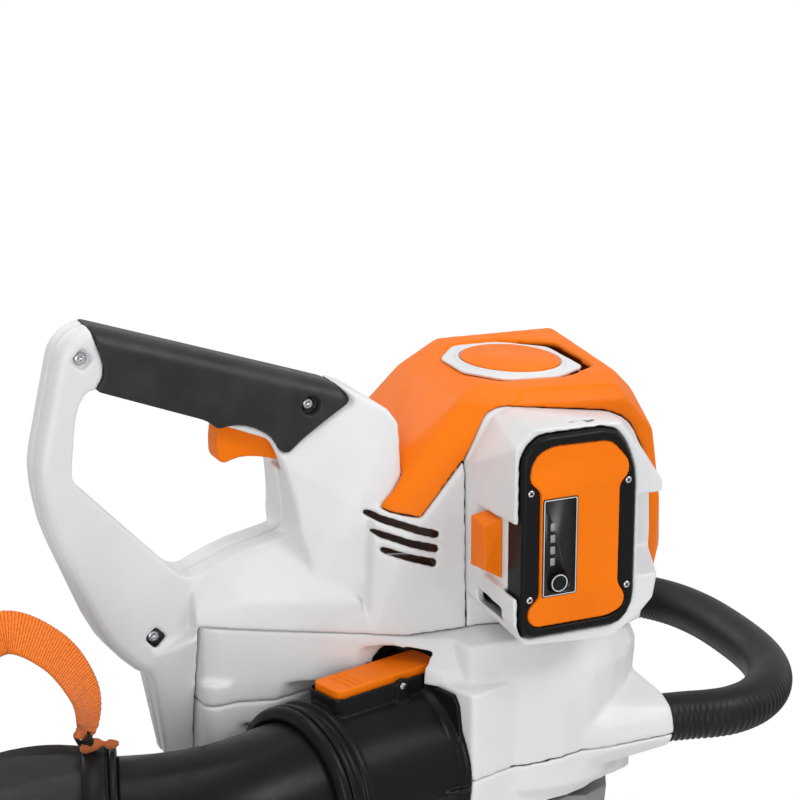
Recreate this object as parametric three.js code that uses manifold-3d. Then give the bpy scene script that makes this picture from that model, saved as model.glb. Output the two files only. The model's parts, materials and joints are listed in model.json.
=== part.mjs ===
// Hand-held leaf vacuum mulcher: battery motor housing over a fan housing, rear handle loop, front bow,
// suction tube below the fan and a catch bag on an elbow behind it.
// Millimetres, +X to the front bow, +Y to the side away from the battery, +Z up along the fan axis.
// The origin is the middle of the rear grip, where a hand carries the machine.
import * as THREE from 'three';
import { ConvexGeometry } from 'three/addons/geometries/ConvexGeometry.js';
import { mergeVertices } from 'three/addons/utils/BufferGeometryUtils.js';
import Module from 'manifold-3d';

// ---------------------------------------------------------------- driving dimensions
const GAP = 0.3;                    // clearance between touching pieces
const LEAN = THREE.MathUtils.degToRad(6);   // the fan axis leans this far from the upright housing
const FAN_AXIS_X = -28;             // where the fan axis meets the parting plane, in the upright frame
const GRIP_CENTRE = { x: -205, z: 230 };    // rear grip centre, in the fan frame

const HANDLE_HALF = 17;             // half thickness of the handle loop
const GRIP_HALF = 19.5;             // half thickness of the rubber grip

const DECK_Z = 84;                  // top of the fan cover, fan frame
const FAN_R_START = 94;             // outer radius of the volute at its tongue
const FAN_R_END = 121;              // and where it meets the outlet
const FAN_FLOOR_Z = -34;            // underside of the fan housing
const IMPELLER_R = 78;
const SHAFT_R = 5;
const INTAKE_R = 56;                // bore of the intake
const INTAKE_RING_R = 92;
const TUBE_R = 55;                  // outer radius of the suction tube
const TUBE_WALL = 2.5;
const TUBE_JOINT_Z = -400;
const TUBE_END_Z = -700;

const BATTERY = { x0: -66, x1: 15, y0: -150, y1: -52, z0: 104, z1: 236, stepY: -128 };
const DUCT_ANGLE = THREE.MathUtils.degToRad(195);   // outlet direction in plan, upright frame
const DUCT_START = { x: -100, y: -66 };             // centre of the outlet flange
const DUCT_R = 54;                  // outer radius of the outlet socket
const ELBOW_R = 49;
const BOW_R = 16.5;
const BOW_Z = 5;

// ---------------------------------------------------------------- colours
const WHITE = { color: 0xd8d8d8, roughness: 0.45, metalness: 0 };
const ORANGE = { color: 0xf57c10, roughness: 0.4, metalness: 0 };
const BLACK = { color: 0x1e2020, roughness: 0.55, metalness: 0 };
const RUBBER = { color: 0x232525, roughness: 0.8, metalness: 0 };
const GREY = { color: 0x8c8c8c, roughness: 0.5, metalness: 0 };
const STEEL = { color: 0xb8bcc0, roughness: 0.3, metalness: 1 };
const COPPER = { color: 0xb86b3a, roughness: 0.4, metalness: 1 };
const CLOTH = { color: 0x17181a, roughness: 0.95, metalness: 0 };
const WEBBING = { color: 0xf0781c, roughness: 0.9, metalness: 0 };

// ---------------------------------------------------------------- solid helpers
const wasm = await Module();
wasm.setup();

// Triangles that merging left with two equal corners are dropped.
function withoutSlivers(index) {
  const kept = [];
  for (let i = 0; i < index.length; i += 3) {
    const [a, b, c] = index.slice(i, i + 3);
    if (a !== b && b !== c && c !== a) kept.push(a, b, c);
  }
  return kept;
}

function solidOf(geometry) {
  const bare = geometry.clone();
  bare.deleteAttribute('normal');
  bare.deleteAttribute('uv');
  const merged = geometry.userData.shared ? bare : mergeVertices(bare, 1e-4);
  const vertProperties = new Float32Array(merged.attributes.position.array);
  const triVerts = new Uint32Array(withoutSlivers(merged.index.array));
  const mesh = new wasm.Mesh({ numProp: 3, vertProperties, triVerts });
  mesh.merge();
  return new wasm.Manifold(mesh);
}

function geometryOf(solid) {
  const mesh = solid.getMesh();
  const geometry = new THREE.BufferGeometry();
  geometry.setAttribute('position', new THREE.BufferAttribute(new Float32Array(mesh.vertProperties), 3));
  geometry.setIndex(new THREE.BufferAttribute(new Uint32Array(mesh.triVerts), 1));
  geometry.computeVertexNormals();
  geometry.userData.shared = true;    // its triangles already share their corners
  return geometry;
}

// Joins the first geometry with the added ones, then cuts the removed ones out.
function carve(base, { add = [], cut = [], keep = [] } = {}) {
  let solid = solidOf(base);
  for (const geometry of add) solid = solid.add(solidOf(geometry));
  for (const geometry of keep) solid = solid.intersect(solidOf(geometry));
  for (const geometry of cut) solid = solid.subtract(solidOf(geometry));
  return geometryOf(solid);
}

function box(x0, x1, y0, y1, z0, z1) {
  const geometry = new THREE.BoxGeometry(x1 - x0, y1 - y0, z1 - z0);
  return geometry.translate((x0 + x1) / 2, (y0 + y1) / 2, (z0 + z1) / 2);
}

function hull(points) {
  return new ConvexGeometry(points.map(([x, y, z]) => new THREE.Vector3(x, y, z)));
}

// The points with their mirror images in the plane Y = 0.
function bothSides(points) {
  return points.concat(points.map(([x, y, z]) => [x, -y, z]));
}

// A closed outline whose corners [x, y, radius] are rounded; a radius stays inside its two edges.
function roundedShape(corners, curveSegments = 2) {
  const count = corners.length;
  const points = [];
  const keepPoint = (point) => {
    if (points.length === 0 || point.distanceTo(points[points.length - 1]) > 0.01) points.push(point);
  };
  corners.forEach(([x, y, radius = 0], i) => {
    const corner = new THREE.Vector2(x, y);
    const before = new THREE.Vector2(...corners[(i + count - 1) % count]).sub(corner);
    const after = new THREE.Vector2(...corners[(i + 1) % count]).sub(corner);
    const reach = Math.min(radius, 0.45 * before.length(), 0.45 * after.length());
    if (reach === 0) {
      keepPoint(corner);
      return;
    }
    const start = corner.clone().add(before.setLength(reach));
    const end = corner.clone().add(after.setLength(reach));
    new THREE.QuadraticBezierCurve(start, corner, end).getPoints(curveSegments).forEach(keepPoint);
  });
  return new THREE.Shape(points);
}

function slab(shape, depth, bevel) {
  return new THREE.ExtrudeGeometry(shape, {
    depth: depth - 2 * bevel,
    bevelEnabled: bevel > 0,
    bevelThickness: bevel,
    bevelSize: bevel,
    bevelOffset: -bevel,
    bevelSegments: bevel > 3 ? 2 : 1,
  }).translate(0, 0, bevel);
}

// An outline in X and Z, as thick as y0 to y1.
function prismY(corners, y0, y1, bevel = 0, curveSegments = 2) {
  const geometry = slab(roundedShape(corners, curveSegments), y1 - y0, bevel);
  return geometry.rotateX(Math.PI / 2).translate(0, y1, 0);
}

// An outline in X and Y, as high as z0 to z1.
function prismZ(corners, z0, z1, bevel = 0, curveSegments = 2) {
  return slab(roundedShape(corners, curveSegments), z1 - z0, bevel).translate(0, 0, z0);
}

// A profile of [radius, height] turned about Z.
function lathe(profile, segments = 24) {
  const points = profile.map(([r, z]) => new THREE.Vector2(r, z));
  return new THREE.LatheGeometry(points, segments).rotateX(Math.PI / 2);
}

// A ring of rectangular section about Z.
function ring(inner, outer, z0, z1, segments = 24) {
  return lathe([[inner, z0], [outer, z0], [outer, z1], [inner, z1], [inner, z0]], segments);
}

function rod(radius, z0, z1, segments = 16) {
  return lathe([[0, z0], [radius, z0], [radius, z1], [0, z1]], segments);
}

function circleShape(radius, sides) {
  const points = [];
  for (let i = 0; i < sides; i += 1) {
    const angle = (2 * Math.PI * i) / sides;
    points.push(new THREE.Vector2(radius * Math.cos(angle), radius * Math.sin(angle)));
  }
  return new THREE.Shape(points);
}

// A section swept along the curve through the points.
function sweep(shape, points, steps) {
  const path = new THREE.CatmullRomCurve3(points.map(([x, y, z]) => new THREE.Vector3(x, y, z)));
  return new THREE.ExtrudeGeometry(shape, { steps, extrudePath: path, bevelEnabled: false });
}

// A closed skin over rings of points, all with the same count; the first and last ring are capped.
function loft(rings) {
  const count = rings[0].length;
  const positions = rings.flat(2);
  const centre = (ringPoints) => [0, 1, 2].map((k) => ringPoints.reduce((s, p) => s + p[k], 0) / count);
  positions.push(...centre(rings[0]), ...centre(rings[rings.length - 1]));
  const first = rings.length * count;
  const last = first + 1;
  const index = [];
  for (let i = 0; i < count; i += 1) {
    const j = (i + 1) % count;
    for (let k = 0; k + 1 < rings.length; k += 1) {
      const a = k * count;
      index.push(a + i, a + j, a + count + j, a + i, a + count + j, a + count + i);
    }
    const top = (rings.length - 1) * count;
    index.push(first, j, i, last, top + i, top + j);
  }
  const geometry = new THREE.BufferGeometry();
  geometry.setAttribute('position', new THREE.BufferAttribute(new Float32Array(positions), 3));
  geometry.setIndex(index);
  return geometry;
}

function node(group, name, look, geometry) {
  const mesh = new THREE.Mesh(geometry, new THREE.MeshStandardMaterial(look));
  mesh.name = name;
  group.add(mesh);
  return mesh;
}

// ---------------------------------------------------------------- groups
const machine = new THREE.Group();
machine.position.set(-GRIP_CENTRE.x, 0, -GRIP_CENTRE.z);

// The upright frame: the housing, the handle and the battery stand square in it.
const upright = new THREE.Group();
upright.rotation.y = -LEAN;
upright.position.set(-FAN_AXIS_X * Math.cos(LEAN), 0, -FAN_AXIS_X * Math.sin(LEAN));
machine.add(upright);
upright.updateMatrix();
const toFan = upright.matrix;
const toUpright = toFan.clone().invert();
const inUpright = (geometry) => geometry.applyMatrix4(toUpright);
const inFan = (geometry) => geometry.applyMatrix4(toFan);

// Points pushed away from their common centre, for the clearance around a neighbour.
function grown(points, margin) {
  const centre = [0, 1, 2].map((k) => points.reduce((sum, p) => sum + p[k], 0) / points.length);
  return points.map((p) => {
    const away = new THREE.Vector3(p[0] - centre[0], p[1] - centre[1], p[2] - centre[2]).setLength(margin);
    return [p[0] + away.x, p[1] + away.y, p[2] + away.z];
  });
}

// ---------------------------------------------------------------- motor body outline (upright frame)
const BODY_POINTS = bothSides([
  [-45, 45, 243], [-22, 66, 242], [46, 68, 238], [57, 44, 241], [67, 50, 229],
  [-60, 48, 234], [-32, 73, 233], [50, 76, 229], [72, 72, 205], [86, 44, 198],
  [-132, 26, 168], [-126, 60, 164], [-108, 73, 152],
  [94, 44, 156], [79, 72, 156], [97, 44, 112], [77, 72, 112], [82, 42, 70], [66, 72, 70],
  [-132, 60, 70], [-60, 77, 70], [50, 78, 70],
]).concat([[-20, 67, 245], [66, 60, 245]]);
const BODY_CENTRE = [-10, 0, 110];
const BODY_INSIDE = 0.963;          // the cavity is this much of the outline
// The lower edge of the orange hood at the back: the housing is white below it.
const HOOD_EDGE = [[-150, 186], [-130, 175.5], [-115, 169], [-98, 165.5]];
// How the edge goes on: up to the battery bay on the near side, down the far side to the front.
const EDGE_RIGHT = [...HOOD_EDGE, [-67, 200.5], [-67, 60], [-150, 60]];
const EDGE_LEFT = [...HOOD_EDGE, [-80, 150], [62, 150], [62, 60], [-150, 60]];
const BAY_OUTLINE = [[-67, 60], [-67, 200, 4], [-48, 228, 8], [-36, 233, 6], [38, 222, 8], [53, 213, 8], [66, 188, 6],
  [68, 150], [68, 60]];
const bodyHull = () => hull(BODY_POINTS);
const bodyCavity = () => hull(BODY_POINTS.map((p) => p.map((v, k) => BODY_CENTRE[k] + (v - BODY_CENTRE[k]) * BODY_INSIDE)));

const bayRegion = (margin) => prismY(outset(BAY_OUTLINE, margin), -120, -45);

// The parts of the body that belong to the housing halves, on each side of the parting plane.
const underHood = (margin) => [prismY(outset(EDGE_RIGHT, margin), -120, 0), prismY(outset(EDGE_LEFT, margin), 0, 120)];

// The seam between the fan cover and the housing above it, as [x, z] along the machine.
const SEAM = [[-237, 98.5], [-105, 84.5], [-60, 87.8], [160, 64.7]];
const belowSeam = (margin) => prismY([...SEAM.map(([x, z]) => [x, z + margin]), [160, 20], [-237, 20]], -300, 300);
const aboveSeam = (margin) => prismY([[-300, 105 + margin], ...SEAM.map(([x, z]) => [x, z + margin]), [300, 50 + margin],
  [300, 200], [-300, 200]], -300, 300);

// ---------------------------------------------------------------- fan housing outline
const DUCT_DIR = [Math.cos(DUCT_ANGLE), Math.sin(DUCT_ANGLE)];
const alongDuct = (t, side = 0) => [
  DUCT_START.x + DUCT_DIR[0] * t - DUCT_DIR[1] * side,
  DUCT_START.y + DUCT_DIR[1] * t + DUCT_DIR[0] * side,
];
// A lathe or prism made about Z is laid along the outlet direction, with its zero at the flange.
const onDuct = (geometry) => geometry.rotateY(Math.PI / 2).rotateZ(DUCT_ANGLE).translate(DUCT_START.x, DUCT_START.y, 0);

const SPIGOTS = [{ y: -94, side: -1 }, { y: 120, side: 1 }];
const SPIGOT_X = 72;

// The outer form of the fan housing, pushed out by the margin m where neighbours touch it.
function fanEnvelope(m) {
  const scroll = volute([[-13, FAN_FLOOR_Z - m], [m, FAN_FLOOR_Z + 15], [m, DECK_Z - 24], [-13, DECK_Z + m]]);
  const shoulder = prismZ([[-236 - m, 30, 8], [-236 - m, -30 - m, 12], [-152, -54 - m, 20], [-122, -62 - m, 12],
    [-84, -76, 8], [-82, -106, 8], [-58, -110, 10], [0, -98, 20], [0, 100, 20], [-120, 80, 40],
    [-200, 50, 20]], 30, 110);
  const step = prismZ([[-236 - m, 34 + m, 6], [-236 - m, -34 - m, 6], [-225 - m, -39 - m, 6], [-118, -11, 4], [-86, -124, 3],
    [2, -97 - m, 20], [60, -80, 10], [60, 90, 10], [-140, 84 + m, 40]], -34 - m, 60);
  const flange = hull([...flangeCorners(0, 0), [10, -92, -30], [10, -92, 40], [20, 30, -30], [20, 30, 50]]);
  const spigots = SPIGOTS.map(({ y, side }) => hull([...circleAcross(SPIGOT_X, y, BOW_Z, 19 + m),
    ...circleAcross(SPIGOT_X - 52, y, BOW_Z, 20 + m), [-70, side * 96 + 4, 40], [-50, side * 96, -26],
    [-60, side * 60, 50], [50, side * 50, 48], [50, side * 50, -26]]));
  const rear = carve(shoulder, { add: [step, flange, ...spigots] });
  return carve(scroll, {
    add: [inFan(rear)],
    keep: [box(-400, 400, -300, 300, FAN_FLOOR_Z - m, DECK_Z + m)],
    cut: [inFan(ductClearance()), inFan(latchClearance()), inFan(aboveSeam(m))],
  });
}

// Corners of the outlet flange at t along the outlet, grown by the margin m: half width and height.
const flangeCorners = (t, m) => [-1, 1].flatMap((s) => [[-44 - m, 60 + m], [56 + m, 42 + m], [-50 - m, 42 + m]].map(
  ([z, half]) => [...alongDuct(t, s * half), z]));

// The room of the outlet socket, and of its latch above it.
const ductClearance = () => carve(hull([...flangeCorners(0, 0.6), ...flangeCorners(200, 0.6)]), {
  add: [onDuct(rod(DUCT_R + 4.6, 0, 200, 24))],
});
const latchClearance = () => ductBox(-17, 81, 17.6, 50, 78);

// A scroll about the fan axis: its radius grows clockwise from the tongue to the outlet.
// Each level is [change of radius, height].
function volute(levels) {
  const sides = 32;
  const tongue = THREE.MathUtils.degToRad(188);
  const turn = THREE.MathUtils.degToRad(352);
  const rings = levels.map(([change, z]) => Array.from({ length: sides }, (_, i) => {
    const share = 1 - i / (sides - 1);
    const angle = tongue - turn * share;
    const radius = FAN_R_START + (FAN_R_END - FAN_R_START) * share + change;
    return [radius * Math.cos(angle), radius * Math.sin(angle), z];
  }));
  return loft(rings);
}

// Points of a circle that stands across X.
function circleAcross(x, y, z, radius) {
  const points = [];
  for (let i = 0; i < 16; i += 1) {
    const angle = (2 * Math.PI * i) / 16;
    points.push([x, y + radius * Math.cos(angle), z + radius * Math.sin(angle)]);
  }
  return points;
}

const CHAMBER_TOP_Z = 66;           // ceiling over the impeller, under the motor well
const DECK_PLATE = 4;

function fanCavity() {
  const chamber = volute([[-17, FAN_FLOOR_Z + 4], [-4, FAN_FLOOR_Z + 17], [-4, DECK_Z - 27], [-14, CHAMBER_TOP_Z]]);
  const duct = inFan(onDuct(rod(46, -120, 1, 24)));
  const nose = inFan(carve(prismZ([[-232, 28, 6], [-232, -26, 6], [-222, -30, 6], [-120, -10, 10], [-60, 76, 10], [-122, 72, 10],
    [-196, 46, 10]], 6, 120), { cut: [aboveSeam(-4)] }));
  return [chamber, duct, nose];
}

// The parting surface steps up behind the outlet: a prism of all that is below it.
const belowParting = (m) => inFan(prismY([[-400, 45 + m], [-150, 45 + m], [-150, m], [400, m], [400, -200], [-400, -200]], -300, 300));

function fanCover() {
  const motorWell = rod(70, CHAMBER_TOP_Z + DECK_PLATE, 120, 24);
  const bore = rod(24, 40, 120);
  return carve(fanEnvelope(0), { cut: [belowParting(GAP), ...fanCavity(), motorWell, bore, ...spigotBores()] });
}

function fanBase() {
  const intake = rod(INTAKE_R, -80, 0, 24);
  const recess = ring(INTAKE_R - 6, INTAKE_RING_R + GAP, -80, FAN_FLOOR_Z + 3);
  return carve(fanEnvelope(0), { keep: [belowParting(0)], cut: [...fanCavity(), intake, recess, ...spigotBores()] });
}

function spigotBores() {
  return SPIGOTS.map(({ y }) => inFan(rod(BOW_R - 1.6, 0, 60, 16).rotateY(Math.PI / 2).translate(SPIGOT_X - 45, y, BOW_Z)));
}

// ---------------------------------------------------------------- rear handle and housing halves
const HANDLE_OUTER = [
  [-297, 301, 2], [-309, 297, 6], [-318, 287, 10], [-335, 212, 12], [-330, 174, 16], [-296, 90, 20], [-266, 62, 10],
  [-150, 70], [-118, 92], [-104, 226, 6], [-120, 240.5, 6], [-220, 274.5, 4],
];
const HANDLE_OPENING = [
  [-296, 261, 2], [-301, 260, 4], [-306, 253, 6], [-309, 242, 8], [-312, 216, 8], [-312.6, 206, 6], [-310, 201, 6],
  [-244, 131.6, 4], [-236, 128, 4], [-222, 134, 6], [-204, 141, 8], [-181, 145.5, 8], [-170, 148, 3], [-166, 154, 4],
  [-166, 162, 6], [-168.5, 180, 8], [-173, 199, 4], [-180, 214, 4], [-223, 232, 4],
];
const HANDLE_CHANNEL = [
  [-318, 262], [-329, 212], [-324, 176], [-290, 95], [-262, 70], [-232, 72], [-232, 118], [-248, 126],
  [-278, 155], [-312, 186], [-317, 208], [-313, 250],
];
const GRIP_OUTLINE = [
  [-297.5, 301.5, 2], [-220, 275.5, 8], [-131, 244.6, 6], [-123, 234.5, 4], [-146, 220.4, 6], [-160, 211, 4],
  [-168.5, 203.5, 3], [-173, 206, 2], [-178, 216, 5], [-190, 224, 5], [-204, 228, 5], [-216, 226, 2], [-223, 232.4, 4],
  [-296, 260.6, 3], [-290, 268, 4], [-289.5, 277, 6],
];
const CORE_OUTLINE = [
  [-306, 290], [-289, 289], [-220, 267], [-124, 232], [-110, 226], [-110, 212], [-150, 224], [-182, 235],
  [-222, 247], [-280, 268], [-306, 270],
];
const CORE_HALF = 11;
const SLOT_OUTLINE = [[-220, 190], [-163, 190], [-163, 228], [-180, 238], [-220, 254]];
const SLOT_HALF = 9.5;
const ROOT_POINTS = bothSides([
  [-131, 14, 245], [-112, 30, 235], [-107, 42, 231.5], [-102, 46, 223], [-176, 15, 203], [-170, 15, 150],
  [-132, 50, 172], [-120, 60, 120], [-122, 52, 90], [-158, 42, 118], [-100, 56, 90],
]);
const ROOT_CAVITY = bothSides([
  [-124, 10, 228], [-110, 34, 220], [-105, 38, 212], [-158, 9, 194], [-158, 9, 152],
  [-124, 44, 166], [-114, 54, 118], [-100, 50, 80],
]);
const SKIRT_POINTS = bothSides([
  [-238, 27, 108], [-236, 18, 121], [-222, 20, 131], [-204, 20, 138], [-181, 20, 143], [-160, 20, 145],
  [-205, 38, 114], [-164, 47, 112], [-134, 58, 110], [-128, 62, 70], [-232, 36, 70], [-238, 30, 92],
]);
const SKIRT_CAVITY = bothSides([
  [-228, 28, 60], [-226, 14, 112], [-204, 15, 129], [-164, 16, 137], [-164, 38, 106], [-134, 50, 104], [-110, 56, 104],
  [-110, 57, 60],
]);
const HEEL_POINTS = bothSides([
  [-266, 16, 78], [-262, 16, 56], [-254, 9, 4], [-240, 12, -2], [-240, 30, 92], [-226, 32, 92], [-226, 14, -2],
]);
const SCREW_PLACES = {
  handle_screw_rear: { x: -303, z: 281, y: -HANDLE_HALF + 4 },
  handle_screw_lower: { x: -261, z: 91, y: -HANDLE_HALF + 4 },
  grip_screw: { x: -152, z: 234, y: -GRIP_HALF + 5 },
};

const TRIGGER_PIN = { x: -174, z: 221 };
const pinAcross = ({ x, z }, radius, half) => rod(radius, -half, half, 16).rotateX(Math.PI / 2).translate(x, 0, z);

function gripCover() {
  const crown = prismY(GRIP_OUTLINE, -GRIP_HALF, GRIP_HALF);
  const slope = Math.atan2(301.5 - 244.6, 297.5 - 131);
  const section = roundedShape([[-GRIP_HALF - 1, 0, 17], [GRIP_HALF + 1, 0, 17], [GRIP_HALF + 1, -90],
    [-GRIP_HALF - 1, -90]], 6);
  const bar = new THREE.ExtrudeGeometry(section, { depth: 300, bevelEnabled: false });
  bar.rotateX(Math.PI / 2).rotateZ(Math.PI / 2).rotateY(slope).translate(-340, 0, 316.6);
  return carve(crown, {
    keep: [bar],
    cut: [
      prismY(CORE_OUTLINE, -CORE_HALF - GAP, CORE_HALF + GAP),
      pinAcross(TRIGGER_PIN, 2.6, 15),
      prismY(SLOT_OUTLINE, -SLOT_HALF, SLOT_HALF),
      screwRecess(SCREW_PLACES.grip_screw, 6.5, 24),
    ],
  });
}

// A recess from the near side down under a screw's head, with the hole for its shank.
function screwRecess({ x, z, y }, radius, sides) {
  const well = rod(radius, -2.3, 60, sides);
  return carve(well, { add: [rod(2.4, -7.6, 0, 16)] }).rotateX(Math.PI / 2).translate(x, y, z);
}

function housingHalf(side) {
  const loop = prismY(HANDLE_OUTER, -HANDLE_HALF, HANDLE_HALF, 7);
  const wall = carve(bodyHull(), {
    keep: [underHood(0)[side < 0 ? 0 : 1]],
    cut: [bodyCavity()],
  });
  const louvres = [0, 1, 2].map((i) => prismY([[-134 + 4 * i, 171.5 - 11.5 * i], [-127 + 3 * i, 165 - 11 * i],
    [-86 - i, 151 - 9.5 * i], [-86 - i, 155.5 - 9.5 * i]], -120, 120));
  const shell = carve(loop, {
    add: [hull(ROOT_POINTS), hull(SKIRT_POINTS), hull(HEEL_POINTS), wall],
    cut: [
      prismY(HANDLE_OPENING, -120, 120),
      prismY(GRIP_OUTLINE, -60, 60),
      prismY([[-294, 263], [-221, 238], [-221, 220], [-294, 250]], -60, 60),
      prismY(HANDLE_CHANNEL, -HANDLE_HALF + 4, HANDLE_HALF - 4),
      hull(ROOT_CAVITY),
      hull(SKIRT_CAVITY),
      bodyCavity(),
      belowSeam(GAP),
      inUpright(fanEnvelope(GAP)),
      ...louvres,
    ],
  });
  const nearSide = side < 0 ? [bayRegion(GAP), screwRecess(SCREW_PLACES.handle_screw_rear, 7.5, 4),
    screwRecess(SCREW_PLACES.handle_screw_lower, 7.5, 4), screwRecess(SCREW_PLACES.grip_screw, 6.5, 24)] : [];
  return carve(shell, {
    add: [prismY(CORE_OUTLINE, -CORE_HALF, CORE_HALF)],
    keep: [side < 0 ? box(-400, 300, -200, -GAP / 2, -60, 400) : box(-400, 300, GAP / 2, 200, -60, 400)],
    cut: [prismY(SLOT_OUTLINE, -SLOT_HALF, SLOT_HALF), pinAcross(TRIGGER_PIN, 2.6, 15), ...nearSide],
  });
}

// ---------------------------------------------------------------- trigger and screws
function trigger() {
  const lever = prismY([[-214, 214, 3], [-213.5, 203, 4], [-209, 199, 4], [-198, 202.5, 8], [-184, 201, 8], [-168, 196, 2],
    [-166, 206, 2], [-169, 223, 3], [-176, 228, 2], [-200, 230], [-212, 230, 2]], -8.5, 8.5, 1.2);
  return carve(lever, { cut: [pinAcross(TRIGGER_PIN, 2.6, 15)] });
}

function screw(radius, length) {
  const body = lathe([[0, -length], [radius * 0.5, -length], [radius * 0.5, -2], [radius, -2], [radius, -0.4], [radius - 0.4, 0],
    [0, 0]], 12);
  return carve(body, { cut: [rod(radius * 0.5, -1.6, 1, 6)] });
}

// A screw whose head looks to the near side, with its head's face at y.
function sideScrew({ x, z, y }) {
  return screw(4, 7).rotateX(Math.PI / 2).translate(x, y, z);
}

// ---------------------------------------------------------------- hood, badge and battery bay
const BADGE = { x: 3, y: 2, z: 241.3, tiltX: 0.03, tiltY: 0.045 };

function onBadge(geometry) {
  return geometry.rotateX(BADGE.tiltX).rotateY(BADGE.tiltY).translate(BADGE.x, BADGE.y, BADGE.z);
}

const BADGE_CORNERS = [[-45, 15, 4], [-24, 41, 6], [12, 43, 6], [41, 22, 4], [41, -28, 4], [14, -45, 6],
  [-26, -43, 6], [-45, -19, 4]];

function hood() {
  const recess = onBadge(prismZ(BADGE_CORNERS.map(([x, y, r]) => [x * 1.12 + (x > 0 ? 2 : 0), y * 1.1, r]), -1.2, 20));
  const slot = prismY([[-97, 230, 2], [-86, 241, 2], [-82, 237, 2], [-93, 226, 2]], -46, -36);
  return carve(bodyHull(), {
    cut: [bodyCavity(), ...underHood(GAP), bayRegion(GAP), hull(grown(ROOT_POINTS, 0.8)), belowSeam(GAP), recess, slot],
  });
}

const badgePlate = () => carve(onBadge(prismZ(BADGE_CORNERS, -0.9, 1.6, 0.6)), { cut: [onBadge(rod(35, 0.4, 10, 28))] });
const badgeDisc = () => onBadge(lathe([[0, 0.7], [34, 0.7], [34, 2.2], [33, 3], [0, 3]], 28));

const BAY_BASE = [[-67, 112], [-67, 197], [-47, 228], [-36, 232], [37, 221], [52, 212], [63, 187], [66, 112], [36, 82],
  [-32, 82]];
const BAY_RIM = [[-70, 114], [-70, 198], [-70, 229], [-58, 240.5], [4, 238], [25, 209], [36, 195], [34, 134], [31, 117],
  [20, 106], [0, 94], [-62, 99]];
const BAY_RIM_Y = -146;

const BATTERY_FRONT = [[-66, 104, 9], [6, 104, 10], [15, 117, 8], [15, 208, 10], [2, 236, 12], [-56, 236, 9], [-66, 225, 8]];
const BATTERY_BODY = [[-61, 109, 6], [10, 109, 8], [10, 200, 8], [0, 218, 8], [-42, 218, 8], [-61, 196, 8]];

// An outline with every edge moved outwards by the margin.
function outset(corners, margin) {
  const count = corners.length;
  const turned = corners.map(([x, y], i) => {
    const [nextX, nextY] = corners[(i + 1) % count];
    return new THREE.Vector2(nextY - y, x - nextX).normalize();
  });
  const area = corners.reduce((sum, [x, y], i) => {
    const [nextX, nextY] = corners[(i + 1) % count];
    return sum + x * nextY - nextX * y;
  }, 0);
  return corners.map(([x, y, radius = 0], i) => {
    const before = turned[(i + count - 1) % count];
    const shift = before.clone().add(turned[i]).multiplyScalar((Math.sign(area) * margin) / (1 + before.dot(turned[i])));
    return [x + shift.x, y + shift.y, radius];
  });
}

function batteryBezel() {
  const frustum = hull([...BAY_BASE.map(([x, z]) => [x, -70, z]), ...BAY_RIM.map(([x, z]) => [x, BAY_RIM_Y, z])]);
  const base = carve(bodyHull(), { keep: [bayRegion(0)], cut: [bodyCavity()] });
  const hollow = carve(prismY(outset(BAY_BASE, -6), -94, -40), { cut: [prismY(outset(BATTERY_BODY, 4), -200, 0)] });
  return carve(frustum, {
    add: [base],
    cut: [
      prismY(outset(BATTERY_FRONT, 0.8), -200, BATTERY.stepY + 1),
      prismY(outset(BATTERY_BODY, 0.8), -200, -40),
      hull([[-100, -200, 131], [-100, -90, 134], [-65, -90, 134], [-65, -200, 128], [-100, -200, 181], [-100, -90, 176],
        [-65, -90, 176], [-65, -200, 184]]),
      hull([[60, -200, 130], [60, -104, 136], [19, -104, 136], [19, -200, 130], [60, -200, 190], [60, -104, 186],
        [19, -104, 186], [19, -200, 190]]),
      hull([[-75, -128, 121], [-75, -90, 124], [-55, -128, 114], [-55, -90, 116], [-75, -128, 113], [-75, -90, 116],
        [-55, -128, 106], [-55, -90, 108]]),
      hollow,
      inUpright(fanEnvelope(GAP)),
    ],
  });
}

function terminalBlock() {
  const block = box(-50, 2, -50.5, -43, 128, 206);
  const blades = [0, 1, 2].map((i) => box(-40 + i * 14, -38 + i * 14, -64, -50, 150, 172));
  return carve(block, { add: blades });
}

// ---------------------------------------------------------------- battery
const INSERT_OUTLINE = [
  [-61, 214, 5], [-57, 224, 5], [-46, 229, 5], [-3, 228, 6], [9, 214, 5], [9, 206, 4], [2, 199, 3], [2, 133, 3], [8, 124, 4],
  [7, 116, 5], [-3, 111, 5], [-57, 111, 5], [-62, 118, 4], [-61, 125, 3], [-54, 131, 3], [-54, 201, 3], [-61, 207, 3],
];
const LABEL = { x0: -53, x1: -28, z0: 131, z1: 196 };
const BUTTON = { x: -41, z: 140, r: 6 };

// A rod about Z is turned out of the battery's face at the button.
const acrossFace = (geometry) => geometry.rotateX(Math.PI / 2).translate(BUTTON.x, BATTERY.y0, BUTTON.z);

function batteryCase() {
  const { y0, y1, stepY } = BATTERY;
  const slots = [0, 1, 2].map((i) => box(-41 + i * 14, -37 + i * 14, -66, -40, 148, 174));
  return carve(prismY(BATTERY_FRONT, y0, stepY, 2), {
    add: [prismY(BATTERY_BODY, stepY - 3, y1, 1.5)],
    cut: [prismY(outset(INSERT_OUTLINE, 0.5), y0 - 5, y0 + 3), ...slots],
  });
}

function batteryInsert() {
  const { y0 } = BATTERY;
  const face = prismY(INSERT_OUTLINE, y0 - 1.5, y0 + 2.6, 1);
  return carve(face, { cut: [box(LABEL.x0, LABEL.x1, y0 - 9, y0 - 0.6, LABEL.z0, LABEL.z1),
    acrossFace(rod(BUTTON.r + GAP, -1.6, 9, 20))] });
}

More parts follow.
